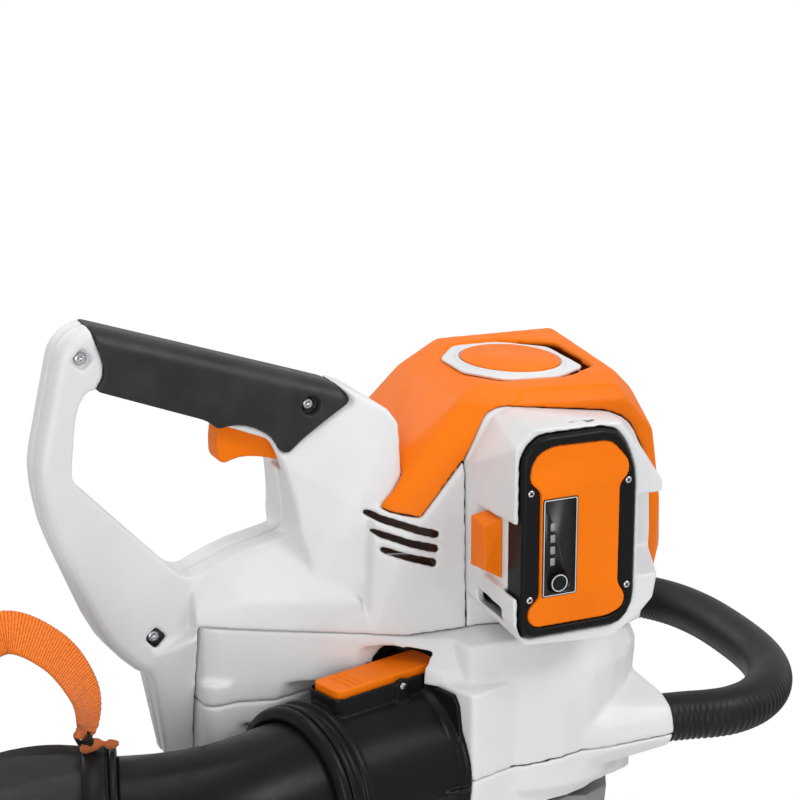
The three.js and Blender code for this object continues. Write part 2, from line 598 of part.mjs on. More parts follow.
function batteryLabel() {
  const { y0 } = BATTERY;
  const panel = box(LABEL.x0 + GAP, LABEL.x1 - GAP, y0 - 1.6, y0 - 0.9, LABEL.z0 + GAP, LABEL.z1 - GAP);
  return carve(panel, { cut: [acrossFace(rod(BUTTON.r + GAP, -30, 30, 20))] });
}

const batteryButton = () => acrossFace(rod(BUTTON.r, 0.4, 2.5, 20));

function batteryLatch() {
  return hull([[-77, -120, 144], [-77, -100, 141], [-65.4, -121, 136.5], [-65.4, -100, 136.5], [-77, -118, 172],
    [-77, -100, 174], [-65.4, -121, 176], [-65.4, -100, 176]]);
}

// ---------------------------------------------------------------- motor, impeller (fan frame)
const motorPlate = () => lathe([[SHAFT_R + 11.3, DECK_Z - 13], [60, DECK_Z - 13], [60, DECK_Z - 9], [24, DECK_Z - 9],
  [22, DECK_Z + 12], [SHAFT_R + 11.3, DECK_Z + 12], [SHAFT_R + 11.3, DECK_Z - 13]]);
const statorCan = () => ring(31, 37, 100, 158);
const rotorCore = () => ring(SHAFT_R + 0.1, 29.5, 106, 152);
const shaft = () => rod(SHAFT_R, -20, 184, 16);
const bearing = (z) => ring(SHAFT_R + 0.1, SHAFT_R + 11, z, z + 9);
const statorCap = () => ring(SHAFT_R + 11.3, 37, 158.3, 170);

function bladeWheel({ hub, outer, z0, z1, base, count, thickness }) {
  const disc = lathe([[SHAFT_R + 0.1, z0], [outer, z0], [outer, z0 + base], [hub + 4, z0 + base], [hub, z1 - 4], [hub, z1],
    [SHAFT_R + 0.1, z1], [SHAFT_R + 0.1, z0]]);
  const blades = [];
  for (let i = 0; i < count; i += 1) {
    const blade = box(hub - 2, outer - 1, -thickness / 2, thickness / 2, z0 + 0.5, z1 - 0.5);
    blades.push(blade.rotateZ((2 * Math.PI * i) / count));
  }
  return carve(disc, { add: blades });
}

// The wheel draws from below, so its disc is on top and the blades hang down.
const impeller = () => bladeWheel({ hub: 20, outer: IMPELLER_R, z0: 8, z1: 56, base: 4, count: 8, thickness: 4 })
  .rotateX(Math.PI).translate(0, 0, 64);
const coolingFan = () => bladeWheel({ hub: 12, outer: 34, z0: 171, z1: 181, base: 2, count: 9, thickness: 1.6 });

function cutter() {
  const arms = [0, 1].map((i) => hull([[-52, -9, -8], [52, -3, -8], [52, 9, -8], [-52, 3, -8], [-52, -9, -5], [52, -3, -5],
    [52, 9, -5], [-52, 3, -5]]).rotateZ((i * Math.PI) / 2));
  return carve(rod(20, -8, -2, 24), { add: arms, cut: [rod(SHAFT_R + 0.1, -30, 30, 16)] });
}

const impellerNut = () => carve(rod(9, -17, -8.3, 6), { cut: [rod(SHAFT_R + 0.1, -30, 30, 16)] });
const controlBoard = () => inFan(box(30, 72, -30, 30, 98, 100));

// ---------------------------------------------------------------- outlet, elbow and bag (upright frame)
const SOCKET_END = 96;
const LATCH = { t0: 4, t1: 76, half: 15.5, z0: 52, z1: 64, pivotT: 26, pivotZ: 61 };

// A box lying along the outlet, t from the flange and s across it.
function ductBox(t0, t1, s, z0, z1, radius = 0) {
  return prismZ([[t0, -s, radius], [t1, -s, radius], [t1, s, radius], [t0, s, radius]], z0, z1)
    .rotateZ(DUCT_ANGLE).translate(DUCT_START.x, DUCT_START.y, 0);
}

function ductPin(radius, half) {
  return rod(radius, -half, half, 16).rotateX(Math.PI / 2).translate(LATCH.pivotT, 0, LATCH.pivotZ)
    .rotateZ(DUCT_ANGLE).translate(DUCT_START.x, DUCT_START.y, 0);
}

function outletSocket() {
  const barrel = onDuct(lathe([[0, GAP], [DUCT_R + 4, GAP], [DUCT_R + 2, 6], [DUCT_R, 10], [DUCT_R, 78], [DUCT_R + 4, 82],
    [DUCT_R + 4, 85], [DUCT_R + 1, 87], [DUCT_R + 1, 90], [DUCT_R + 4, 92], [DUCT_R + 4, SOCKET_END], [0, SOCKET_END]]));
  const plate = hull([...flangeCorners(GAP, 0), ...flangeCorners(4, 0)]);
  const wellFloor = LATCH.z0 + 3.5;
  return carve(barrel, {
    add: [plate, ductBox(LATCH.t0 - 2, LATCH.t1 + 2, LATCH.half + 1, 30, LATCH.z1, 6)],
    cut: [
      onDuct(rod(DUCT_R - 4, -10, 120, 24)),
      ductBox(LATCH.t0 - 20, LATCH.t1, LATCH.half - 1, wellFloor, 90, 5),
      ductPin(2.6, 30),
    ],
  });
}

function outletLatch() {
  const { t0, t1, half, pivotT, pivotZ } = LATCH;
  const plate = ductBox(t0 - 14, t1 - 1, half - 2, pivotZ, pivotZ + 7, 5);
  const boss = ductBox(pivotT - 4, pivotT + 4, half - 2, pivotZ - 4, pivotZ + 2, 0);
  const grooves = [0, 1, 2].map((i) => ductBox(t1 - 24 + i * 5, t1 - 22 + i * 5, half - 5, pivotZ + 6, pivotZ + 9));
  return carve(plate, { add: [boss], cut: [ductPin(2.6, 30), ...grooves] });
}

const ELBOW_PATH = [[...alongDuct(62), 0], [...alongDuct(100), 0], [...alongDuct(128), -1], [-252, -103, -2.5],
  [-284, -99, -4], [-312, -90, -5]];

function tubeShape(outer, inner, sides) {
  const shape = circleShape(outer, sides);
  shape.holes.push(new THREE.Path(circleShape(inner, sides).getPoints().reverse()));
  return shape;
}

const elbow = () => sweep(tubeShape(ELBOW_R, ELBOW_R - 3, 18), ELBOW_PATH, 10);
const elbowCollar = () => onDuct(lathe([[ELBOW_R + 1.2, SOCKET_END + 0.5], [DUCT_R + 3, SOCKET_END + 0.5],
  [DUCT_R + 4, SOCKET_END + 3], [DUCT_R + 3, SOCKET_END + 6], [ELBOW_R + 4, SOCKET_END + 8], [ELBOW_R + 1.2, SOCKET_END + 8],
  [ELBOW_R + 1.2, SOCKET_END + 0.5]]));

const NECK = { x: -312, y: -90, z: -5, yaw: Math.atan2(9, -28), pitch: 0.034 };
// A lathe made about Z is turned so that its zero is at the elbow's end and +Z leads into the bag.
const onNeck = (geometry) => geometry.rotateY(Math.PI / 2 + NECK.pitch).rotateZ(NECK.yaw).translate(NECK.x, NECK.y, NECK.z);

function neckFlange() {
  const flange = lathe([[ELBOW_R - 3, 1.5], [ELBOW_R + 9, 1.5], [ELBOW_R + 9, 4.5], [ELBOW_R + 0.5, 5], [ELBOW_R + 0.5, 24],
    [ELBOW_R + 3, 26], [ELBOW_R + 3, 29], [ELBOW_R - 3, 29], [ELBOW_R - 3, 1.5]]);
  return onNeck(flange);
}

const alongNeck = (t) => [NECK.x + t * Math.cos(NECK.yaw), NECK.y + t * Math.sin(NECK.yaw), NECK.z - t * NECK.pitch];
const BAG_RINGS = [   // centre x, y, z, half width, half height, lean of the ring
  [...alongNeck(5.3), 55.5, 55.5, NECK.pitch], [...alongNeck(23), 56, 56, NECK.pitch], [-358, -73, -24, 82, 74, 0.35],
  [-388, -54, -58, 112, 98, 0.6], [-424, -28, -120, 138, 120, 0.9], [-452, -8, -202, 148, 132, 1.2],
  [-468, 4, -292, 148, 134, 1.4], [-476, 10, -376, 132, 122, 1.5], [-478, 12, -434, 92, 88, 1.55],
  [-478, 12, -456, 40, 40, 1.57],
];

const BAG_CLOTH = 1;

function bagRing([x, y, z, a, b, lean], shrink) {
  const count = 18;
  const points = [];
  const yaw = NECK.yaw;
  for (let i = 0; i < count; i += 1) {
    const angle = (2 * Math.PI * i) / count;
    const across = (a - shrink) * Math.cos(angle);
    const up = (b - shrink) * Math.sin(angle);
    points.push([
      x - Math.sin(yaw) * across + Math.cos(yaw) * up * Math.sin(lean),
      y + Math.cos(yaw) * across + Math.sin(yaw) * up * Math.sin(lean),
      z + up * Math.cos(lean),
    ]);
  }
  return points;
}

function bag() {
  const outer = loft(BAG_RINGS.map((r) => bagRing(r, 0)));
  const mouth = [...alongNeck(-1), ...BAG_RINGS[0].slice(3)];
  const inner = loft([mouth, ...BAG_RINGS.slice(1, -1)].map((r) => bagRing(r, BAG_CLOTH)));
  return carve(outer, { cut: [inner] });
}

const STRAP_PATH = [[-446, -60, 36], [-432, -63, 74], [-406, -67, 114], [-376, -71, 134], [-348, -76, 119], [-331, -80, 92],
  [-329, -83, 72], [-334, -85, 62]];

function strap(path, width, thickness, steps) {
  const section = new THREE.Shape([[-1, -1], [1, -1], [1, 1], [-1, 1]].map(
    ([a, b]) => new THREE.Vector2((a * thickness) / 2, (b * width) / 2)));
  return sweep(section, path, steps);
}

const neckBand = () => onNeck(ring(ELBOW_R + 8, ELBOW_R + 10.5, 7, 21));

// ---------------------------------------------------------------- front bow
const BOW_PATH = [[SPIGOT_X + 6, -95, BOW_Z], [90, -98, BOW_Z], [106, -102, BOW_Z], [123, -103, BOW_Z], [144, -97, BOW_Z],
  [164, -83, BOW_Z], [180, -63, BOW_Z], [191, -38, BOW_Z], [197, -9, BOW_Z], [200, 30, BOW_Z], [199, 62, BOW_Z],
  [192, 92, BOW_Z], [177, 116, BOW_Z], [154, 130, BOW_Z], [126, 134, BOW_Z], [98, 128, BOW_Z], [SPIGOT_X + 6, 122, BOW_Z]];
const BOW_CORE_R = 10;

const bowGrip = () => sweep(tubeShape(BOW_R, BOW_CORE_R + 2, 12), BOW_PATH, 20);
const bowCore = () => sweep(tubeShape(BOW_CORE_R, BOW_CORE_R - 1.6, 8), [[SPIGOT_X - 38, -94, BOW_Z], ...BOW_PATH,
  [SPIGOT_X - 38, 120, BOW_Z]], 24);

// ---------------------------------------------------------------- suction tube (fan frame)
const intakeRing = () => carve(lathe([[INTAKE_R, FAN_FLOOR_Z - 10], [INTAKE_R + 4, FAN_FLOOR_Z - 12], [INTAKE_RING_R - 6, FAN_FLOOR_Z - 12],
  [INTAKE_RING_R, FAN_FLOOR_Z - 6], [INTAKE_RING_R, FAN_FLOOR_Z + 2.7], [INTAKE_R, FAN_FLOOR_Z + 2.7],
  [INTAKE_R, FAN_FLOOR_Z - 10]]), {
  cut: [inFan(ductClearance())] });
const lockingTab = () => hull([[40, -70], [52, -46], [74, -40], [92, -30], [96, -38], [84, -60], [60, -74]].flatMap(
  ([x, y]) => [[x, y, FAN_FLOOR_Z - 26], [x, y, FAN_FLOOR_Z - 12.4]]));

const upperTube = () => carve(ring(TUBE_R - TUBE_WALL, TUBE_R, TUBE_JOINT_Z, FAN_FLOOR_Z + 1), {
  add: [ring(TUBE_R - TUBE_WALL, TUBE_R + 5, TUBE_JOINT_Z, TUBE_JOINT_Z + 24),
    ring(TUBE_R - 1, TUBE_R + 4, FAN_FLOOR_Z - 22, FAN_FLOOR_Z - 13)],
});
const lowerTube = () => carve(ring(TUBE_R - TUBE_WALL, TUBE_R, TUBE_END_Z, TUBE_JOINT_Z - GAP), {
  add: [ring(TUBE_R - 3 * TUBE_WALL, TUBE_R - TUBE_WALL - GAP, TUBE_JOINT_Z - 30, TUBE_JOINT_Z + 20),
    ring(TUBE_R - 3 * TUBE_WALL, TUBE_R - TUBE_WALL + 1, TUBE_JOINT_Z - 30, TUBE_JOINT_Z - 10),
    ring(TUBE_R - TUBE_WALL, TUBE_R + 5, TUBE_JOINT_Z - 26, TUBE_JOINT_Z - GAP)],
});

// Stations of the nozzle: shift to the front, depth below the tube's end, lean, width across the tube.
const NOZZLE = [[0, -24, 0, 1], [0, 10, 0, 1], [6, 48, 0.3, 1.05], [26, 88, 0.6, 1.12], [60, 128, 0.75, 1.2]];

function nozzleSkin(radius, spare) {
  const sides = 20;
  const rings = NOZZLE.map(([x, depth, lean, width], k) => {
    const reach = depth + (k === 0 ? -spare : 0) + (k === NOZZLE.length - 1 ? spare : 0);
    return Array.from({ length: sides }, (_, i) => {
      const angle = (2 * Math.PI * i) / sides;
      const out = radius * Math.cos(angle);
      return [x + out * Math.cos(lean), radius * width * Math.sin(angle), TUBE_END_Z - reach + out * Math.sin(lean)];
    });
  });
  return loft(rings.reverse());
}

const nozzle = () => carve(nozzleSkin(TUBE_R + 4, 0), { cut: [nozzleSkin(TUBE_R + 1.2, 6)] });

// ---------------------------------------------------------------- assembly
node(upright, 'housing_right', WHITE, housingHalf(-1));
node(upright, 'housing_left', WHITE, housingHalf(1));
node(upright, 'grip_cover', RUBBER, gripCover());
node(upright, 'trigger', ORANGE, trigger());
node(upright, 'trigger_pin', STEEL, pinAcross(TRIGGER_PIN, 2.5, 13));
for (const [name, place] of Object.entries(SCREW_PLACES)) node(upright, name, STEEL, sideScrew(place));
node(upright, 'motor_hood', ORANGE, hood());
node(upright, 'badge_plate', WHITE, badgePlate());
node(upright, 'badge_disc', ORANGE, badgeDisc());
node(upright, 'battery_bezel', WHITE, batteryBezel());
node(upright, 'terminal_block', BLACK, terminalBlock());
node(upright, 'battery_case', BLACK, batteryCase());
node(upright, 'battery_insert', ORANGE, batteryInsert());
node(upright, 'battery_label', BLACK, batteryLabel());
node(upright, 'battery_button', BLACK, batteryButton());
node(upright, 'battery_latch', ORANGE, batteryLatch());
node(machine, 'fan_cover', WHITE, fanCover());
node(machine, 'fan_base', WHITE, fanBase());
node(machine, 'motor_plate', GREY, motorPlate());
node(machine, 'motor_stator', COPPER, statorCan());
node(machine, 'stator_cap', GREY, statorCap());
node(machine, 'motor_rotor', STEEL, rotorCore());
node(machine, 'motor_shaft', STEEL, shaft());
node(machine, 'bearing_lower', STEEL, bearing(84));
node(machine, 'bearing_upper', STEEL, bearing(159.5));
node(machine, 'cooling_fan', BLACK, coolingFan());
node(machine, 'impeller', GREY, impeller());
node(machine, 'cutter_blade', STEEL, cutter());
node(machine, 'impeller_nut', STEEL, impellerNut());
node(machine, 'control_board', COPPER, controlBoard());
node(upright, 'outlet_socket', BLACK, outletSocket());
node(upright, 'outlet_latch', ORANGE, outletLatch());
node(upright, 'latch_pin', STEEL, ductPin(2.5, LATCH.half + 0.8));
node(upright, 'elbow', BLACK, elbow());
node(upright, 'elbow_collar', BLACK, elbowCollar());
node(upright, 'neck_flange', BLACK, neckFlange());
node(upright, 'bag', CLOTH, bag());
node(upright, 'neck_band', BLACK, neckBand());
node(upright, 'bag_strap', WEBBING, strap(STRAP_PATH, 28, 1.8, 24));
node(upright, 'bow_core', STEEL, bowCore());
node(upright, 'bow_grip', RUBBER, bowGrip());
node(machine, 'intake_ring', BLACK, intakeRing());
node(machine, 'locking_tab', GREY, lockingTab());
node(machine, 'suction_tube_upper', BLACK, upperTube());
node(machine, 'suction_tube_lower', BLACK, lowerTube());
node(machine, 'nozzle', BLACK, nozzle());

export default machine;
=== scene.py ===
"""Looks of the leaf vacuum mulcher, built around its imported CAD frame.

Sizes inside the builders are millimetres; the matrices UPRIGHT, FAN and DUCT turn them into the frame's
metres. Moulded shells are remeshed copies of their CAD nodes with eased edges. Round and soft pieces are
made afresh.
"""

import json
import math

import bmesh
import bpy
from mathutils import Matrix, Vector, noise


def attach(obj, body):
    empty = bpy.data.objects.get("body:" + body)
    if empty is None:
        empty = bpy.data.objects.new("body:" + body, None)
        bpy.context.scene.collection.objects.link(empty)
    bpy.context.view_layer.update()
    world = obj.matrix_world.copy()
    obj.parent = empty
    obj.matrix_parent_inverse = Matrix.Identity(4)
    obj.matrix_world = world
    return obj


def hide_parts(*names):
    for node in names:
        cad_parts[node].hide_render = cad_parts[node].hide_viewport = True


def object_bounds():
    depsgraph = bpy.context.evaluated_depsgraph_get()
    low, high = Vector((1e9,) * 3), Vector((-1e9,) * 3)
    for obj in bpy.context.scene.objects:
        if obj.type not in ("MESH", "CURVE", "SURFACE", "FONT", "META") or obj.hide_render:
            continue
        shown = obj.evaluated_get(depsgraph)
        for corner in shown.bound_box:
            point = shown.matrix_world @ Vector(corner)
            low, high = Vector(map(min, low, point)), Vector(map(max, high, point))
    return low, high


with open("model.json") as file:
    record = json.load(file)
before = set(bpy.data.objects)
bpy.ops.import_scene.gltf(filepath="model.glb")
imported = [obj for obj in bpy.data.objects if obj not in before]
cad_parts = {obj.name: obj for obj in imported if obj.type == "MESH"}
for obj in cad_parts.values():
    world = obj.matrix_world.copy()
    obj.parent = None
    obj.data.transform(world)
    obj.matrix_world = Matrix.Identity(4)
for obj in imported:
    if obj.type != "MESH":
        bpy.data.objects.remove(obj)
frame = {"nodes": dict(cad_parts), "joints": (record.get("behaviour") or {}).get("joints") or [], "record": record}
CAD_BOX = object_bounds()

JOINTS = {joint["name"]: joint for joint in frame["joints"]}
SLOT_OF = {part["node"]: part["material_slot"] for part in frame["record"]["subparts"]}
BODY_OF = {
    node: body for body, nodes in frame["record"]["behaviour"]["bodies"].items() for node in nodes
}
MM = Matrix.Scale(0.001, 4)
SMOOTH_SIDES = 96

# ------------------------------------------------------------------ frames, from the joints


def axes(origin, x_axis, z_axis):
    """A matrix from millimetres along these axes to the frame's metres."""
    x_axis = Vector(x_axis).normalized()
    z_axis = Vector(z_axis).normalized()
    y_axis = z_axis.cross(x_axis)
    turn = Matrix((x_axis, y_axis, z_axis)).transposed().to_4x4()
    return Matrix.Translation(origin) @ turn @ MM


FAN_POINT = Vector(JOINTS["impeller_spin"]["pos_m"])
FAN = axes(FAN_POINT, (1, 0, 0), (0, 0, 1))
FORWARD = -Vector(JOINTS["battery_catch_slide"]["axis"])
AXIS_BACK = 28  # the fan axis is this far behind the upright frame's zero
UPRIGHT = axes(FAN_POINT + FORWARD * AXIS_BACK * 0.001, FORWARD, FORWARD.cross(Vector((0, 1, 0))))
DUCT_WAY = Vector(JOINTS["elbow_swivel"]["axis"])
DUCT_POINT = Vector(JOINTS["elbow_swivel"]["pos_m"])
UP = UPRIGHT.to_3x3() @ Vector((0, 0, 1000))
DUCT = axes(DUCT_POINT, UP.cross(DUCT_WAY).cross(DUCT_WAY), DUCT_WAY)  # Z runs along the outlet

# ------------------------------------------------------------------ mesh helpers


def link(name, mesh):
    piece = bpy.data.objects.new(name, mesh)
    bpy.context.scene.collection.objects.link(piece)
    return piece


def mesh_of(name, vertices, faces, matrix, uvs=None):
    """A smooth-shaded mesh; uvs, where given, has one pair for each vertex."""
    mesh = bpy.data.meshes.new(name)
    mesh.from_pydata([matrix @ Vector(v) for v in vertices], [], faces)
    if uvs:
        layer = mesh.uv_layers.new(name="cut")
        for loop in mesh.loops:
            layer.data[loop.index].uv = uvs[loop.vertex_index]
    mesh.shade_smooth()
    mesh.update()
    return mesh


def grid_faces(rows, columns, wrap):
    faces = []
    for i in range(rows - 1):
        for j in range(columns if wrap else columns - 1):
            k = (j + 1) % columns
            faces.append((i * columns + j, i * columns + k, (i + 1) * columns + k, (i + 1) * columns + j))
    return faces


def lathe(profile, sides=SMOOTH_SIDES, closed=False):
    """(vertices, faces) of a profile of (radius, height) turned about Z."""
    rows = profile + [profile[0]] if closed else profile
    vertices = []
    for radius, height in rows:
        for i in range(sides):
            angle = 2 * math.pi * i / sides
            vertices.append((radius * math.cos(angle), radius * math.sin(angle), height))
    return vertices, grid_faces(len(rows), sides, True)


def tidy(mesh):
    """Welds doubled points and turns the faces outwards."""
    form = bmesh.new()
    form.from_mesh(mesh)
    bmesh.ops.remove_doubles(form, verts=form.verts, dist=1e-6)
    bmesh.ops.recalc_face_normals(form, faces=form.faces)
    form.to_mesh(mesh)
    form.free()
    return mesh


def applied(piece):
    """The piece with its modifiers made part of its mesh."""
    graph = bpy.context.evaluated_depsgraph_get()
    mesh = bpy.data.meshes.new_from_object(piece.evaluated_get(graph))
    piece.modifiers.clear()
    piece.data = mesh
    mesh.shade_smooth()
    return piece


def prism(outline, low, high, matrix):
    """A closed prism over a plan outline of (x, y), from low to high."""
    count = len(outline)
    vertices = [(x, y, low) for x, y in outline] + [(x, y, high) for x, y in outline]
    faces = [tuple(reversed(range(count))), tuple(range(count, 2 * count))]
    for i in range(count):
        j = (i + 1) % count
        faces.append((i, j, count + j, count + i))
    return tidy(mesh_of("prism", vertices, faces, matrix))


def cut_out(piece, tools):
    for tool in tools:
        cutter = link("cutter", tool)
        knife = piece.modifiers.new("cut", "BOOLEAN")
        knife.object = cutter
        knife.solver = "EXACT"
        applied(piece)
        bpy.data.objects.remove(cutter)
    return piece


def joined(name, meshes):
    form = bmesh.new()
    for mesh in meshes:
        form.from_mesh(mesh)
    mesh = bpy.data.meshes.new(name)
    form.to_mesh(mesh)
    form.free()
    return link(name, mesh)


def moulded(piece, voxel, ease, share):
    """Remeshes the closed solids in the piece as one, eases the edges and thins the flat areas."""
    fuse = piece.modifiers.new("fuse", "REMESH")
    fuse.mode = "VOXEL"
    fuse.voxel_size = voxel * 0.001
    soften = piece.modifiers.new("soften", "SMOOTH")
    soften.factor = 0.5
    soften.iterations = ease
    thin = piece.modifiers.new("thin", "DECIMATE")
    thin.ratio = share
    return applied(piece)


def stand_in(piece, material, *nodes):
    """The piece takes the given material, rides on the nodes' body and stands for them, which are hidden."""
    piece.data.materials.clear()
    piece.data.materials.append(material)
    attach(piece, BODY_OF[nodes[0]])
    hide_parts(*nodes)
    return piece


def trim(piece, material, body):
    """A small piece that only scene.py has."""
    piece.data.materials.clear()
    piece.data.materials.append(material)
    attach(piece, body)
    return piece


# ------------------------------------------------------------------ materials


class Finish:
    """A procedural material; its patterns are measured in the frame's metres."""

    def __init__(self, name, colour, roughness, metallic=0.0, specular=0.5):
        self.material = bpy.data.materials.new(name)
        self.material.use_nodes = True
        self.nodes = self.material.node_tree.nodes
        self.links = self.material.node_tree.links
        self.shader = self.nodes["Principled BSDF"]
        self.shader.inputs["Metallic"].default_value = metallic
        self.shader.inputs["Specular IOR Level"].default_value = specular
        self.place = self.nodes.new("ShaderNodeTexCoord")
        self.colour = colour
        self.roughness = roughness
        self.heights = []

    def noise(self, scale, detail=3.0, output="Object"):
        texture = self.nodes.new("ShaderNodeTexNoise")
        texture.inputs["Scale"].default_value = scale
        texture.inputs["Detail"].default_value = detail
        self.links.new(self.place.outputs[output], texture.inputs["Vector"])
        return texture.outputs["Fac"]

    def mapped(self, value, low, high, start=0.3, end=0.7):
        ranged = self.nodes.new("ShaderNodeMapRange")
        ranged.inputs["From Min"].default_value = start
        ranged.inputs["From Max"].default_value = end
        ranged.inputs["To Min"].default_value = low
        ranged.inputs["To Max"].default_value = high
        self.links.new(value, ranged.inputs["Value"])
        return ranged.outputs["Result"]

    def ramp(self, value, stops):
        ramp = self.nodes.new("ShaderNodeValToRGB")
        elements = ramp.color_ramp.elements
        while len(elements) < len(stops):
            elements.new(0.5)
        for element, (position, colour) in zip(elements, stops):
            element.position = position
            element.color = (*colour, 1)
        self.links.new(value, ramp.inputs["Fac"])
        return ramp.outputs["Color"]

    def mix(self, share, first, second):
        mixer = self.nodes.new("ShaderNodeMix")
        mixer.data_type = "RGBA"
        self.links.new(share, mixer.inputs["Factor"])
        for value, socket in ((first, mixer.inputs[6]), (second, mixer.inputs[7])):
            if isinstance(value, tuple):
                socket.default_value = (*value, 1)
            else:
                self.links.new(value, socket)
        return mixer.outputs[2]

    def math(self, operation, first, second):
        node = self.nodes.new("ShaderNodeMath")
        node.operation = operation
        for value, socket in ((first, node.inputs[0]), (second, node.inputs[1])):
            if isinstance(value, float):
                socket.default_value = value
            else:
                self.links.new(value, socket)
        return node.outputs[0]

    def bump(self, height, distance, strength=1.0):
        """Adds a layer of relief; distance is its real height in metres."""
        node = self.nodes.new("ShaderNodeBump")
        node.inputs["Distance"].default_value = distance
        node.inputs["Strength"].default_value = strength
        self.links.new(height, node.inputs["Height"])
        if self.heights:
            self.links.new(self.heights[-1].outputs["Normal"], node.inputs["Normal"])
        self.heights.append(node)

    def tones(self, amount):
        return tuple(min(1.0, channel * amount) for channel in self.colour)

    def done(self, colour=None, roughness=None):
        if colour is None:
            colour = self.ramp(self.noise(14), [(0.35, self.tones(0.95)), (0.65, self.tones(1.03))])
        if roughness is None:
            roughness = self.mapped(self.noise(60), self.roughness - 0.05, self.roughness + 0.06)
        self.links.new(colour, self.shader.inputs["Base Color"])
        self.links.new(roughness, self.shader.inputs["Roughness"])
        if self.heights:
            self.links.new(self.heights[-1].outputs["Normal"], self.shader.inputs["Normal"])
        return self.material


def plastic(name, colour, roughness, grain=0.00003, wear=1.12, specular=0.45):
    """Moulded plastic: spark-eroded grain, faint flow marks, and edges a little paler where hands rub."""
    finish = Finish(name, colour, roughness, specular=specular)
    finish.bump(finish.noise(2600, 2), grain)
    finish.bump(finish.noise(90, 2), 0.00006, 0.5)
    base = finish.ramp(finish.noise(14), [(0.35, finish.tones(0.955)), (0.65, finish.tones(1.03))])
    geometry = finish.nodes.new("ShaderNodeNewGeometry")
    worn = finish.mapped(geometry.outputs["Pointiness"], 0.0, 0.55, 0.52, 0.62)
    patchy = finish.math("MULTIPLY", worn, finish.mapped(finish.noise(45, 4), 0.2, 1.0))
    return finish.done(finish.mix(patchy, base, finish.tones(wear)))


def rubber(name, colour, roughness):
    """Soft-touch moulding: fine pits, a dusty bloom and soft sheen."""
    finish = Finish(name, colour, roughness, specular=0.25)
    finish.bump(finish.noise(3200, 3), 0.00005)
    dust = finish.ramp(finish.noise(35, 5), [(0.4, finish.colour), (0.75, finish.tones(1.7))])
    finish.shader.inputs["Sheen Weight"].default_value = 0.06
    finish.shader.inputs["Sheen Roughness"].default_value = 0.4
    return finish.done(dust)


def steel(name, colour, roughness):
    """Turned or rolled metal with fine scratches."""
    finish = Finish(name, colour, roughness, metallic=1.0)
    stretch = finish.nodes.new("ShaderNodeMapping")
    stretch.inputs["Scale"].default_value = (40, 40, 1400)
    finish.links.new(finish.place.outputs["Object"], stretch.inputs["Vector"])
    scratches = finish.nodes.new("ShaderNodeTexNoise")
    scratches.inputs["Scale"].default_value = 1
    finish.links.new(stretch.outputs["Vector"], scratches.inputs["Vector"])
    finish.bump(scratches.outputs["Fac"], 0.00002)
    return finish.done(roughness=finish.mapped(scratches.outputs["Fac"], roughness - 0.06, roughness + 0.1))


def woven(name, colour, pitch, across, depth, gap):
    """Cloth woven along the piece's cut: threads of two directions that pass over and under."""
    finish = Finish(name, colour, 0.85, specular=0.25)
    split = finish.nodes.new("ShaderNodeSeparateXYZ")
    finish.links.new(finish.place.outputs["UV"], split.inputs["Vector"])
    along_turns = finish.math("MULTIPLY", split.outputs["X"], 2 * math.pi / pitch)
    across_turns = finish.math("MULTIPLY", split.outputs["Y"], 2 * math.pi / across)
    warp = finish.math("SINE", along_turns, 0.0)
    weft = finish.math("SINE", across_turns, 0.0)
    over = finish.math("MULTIPLY", warp, weft)
    threads = finish.mapped(finish.math("MAXIMUM", over, finish.math("ABSOLUTE", warp, 0.0)), 0, 1, 0, 1)
    finish.bump(threads, depth)
    finish.bump(finish.noise(5200, 3, "UV"), 0.00004)
    fleck = finish.mapped(finish.noise(900, 3, "UV"), 0.75, 1.25)
    shade = finish.ramp(threads, [(0.1, finish.tones(gap)), (0.7, finish.tones(1.1))])
    finish.shader.inputs["Sheen Weight"].default_value = 0.25
    tinted = finish.nodes.new("ShaderNodeVectorMath")
    tinted.operation = "SCALE"
    finish.links.new(shade, tinted.inputs[0])
    finish.links.new(fleck, tinted.inputs["Scale"])
    return finish.done(tinted.outputs["Vector"])


WHITE = plastic("white_moulding", (0.74, 0.745, 0.75), 0.38)
ORANGE = plastic("orange_moulding", (0.9, 0.185, 0.001), 0.42, specular=0.16)
BLACK = plastic("black_moulding", (0.008, 0.0083, 0.0086), 0.3, wear=2.4, specular=0.13)
GREY = plastic("grey_moulding", (0.27, 0.27, 0.275), 0.45)
WHEEL = plastic("filled_moulding", (0.07, 0.07, 0.075), 0.5, wear=1.6)
PRINT = plastic("pale_print", (0.62, 0.62, 0.63), 0.4)
GRIP = rubber("soft_grip", (0.021, 0.0215, 0.022), 0.42)
HOSE = rubber("hose_rubber", (0.007, 0.0073, 0.0076), 0.44)
STEEL = steel("steel", (0.62, 0.62, 0.64), 0.26)
COPPER = steel("copper_windings", (0.75, 0.36, 0.2), 0.35)
ALUMINIUM = steel("drawn_tube", (0.6, 0.6, 0.62), 0.32)
BOARD = plastic("coated_board", (0.03, 0.14, 0.05), 0.3)
GLOSS = plastic("gloss_panel", (0.006, 0.006, 0.0065), 0.3, grain=0.00001, wear=1.0, specular=0.3)
KNIT_PITCH = 0.0021
CLOTH = woven("mesh_cloth", (0.013, 0.013, 0.014), KNIT_PITCH, 0.0026, 0.0009, 0.08)
WEBBING = woven("webbing", (0.9, 0.19, 0.012), 0.0042, 0.0016, 0.0005, 0.6)
MATERIAL_OF_SLOT = {
    "white_shell": WHITE,
    "orange_shell": ORANGE,
    "black_shell": BLACK,
    "soft_grip": GRIP,
    "ribbed_hose": HOSE,
    "grey_part": GREY,
    "wheel": WHEEL,
    "steel": STEEL,
    "core_tube": ALUMINIUM,
    "copper": COPPER,
    "board": BOARD,
    "mesh_cloth": CLOTH,
    "webbing": WEBBING,
}

# ------------------------------------------------------------------ moulded shells, from their CAD nodes

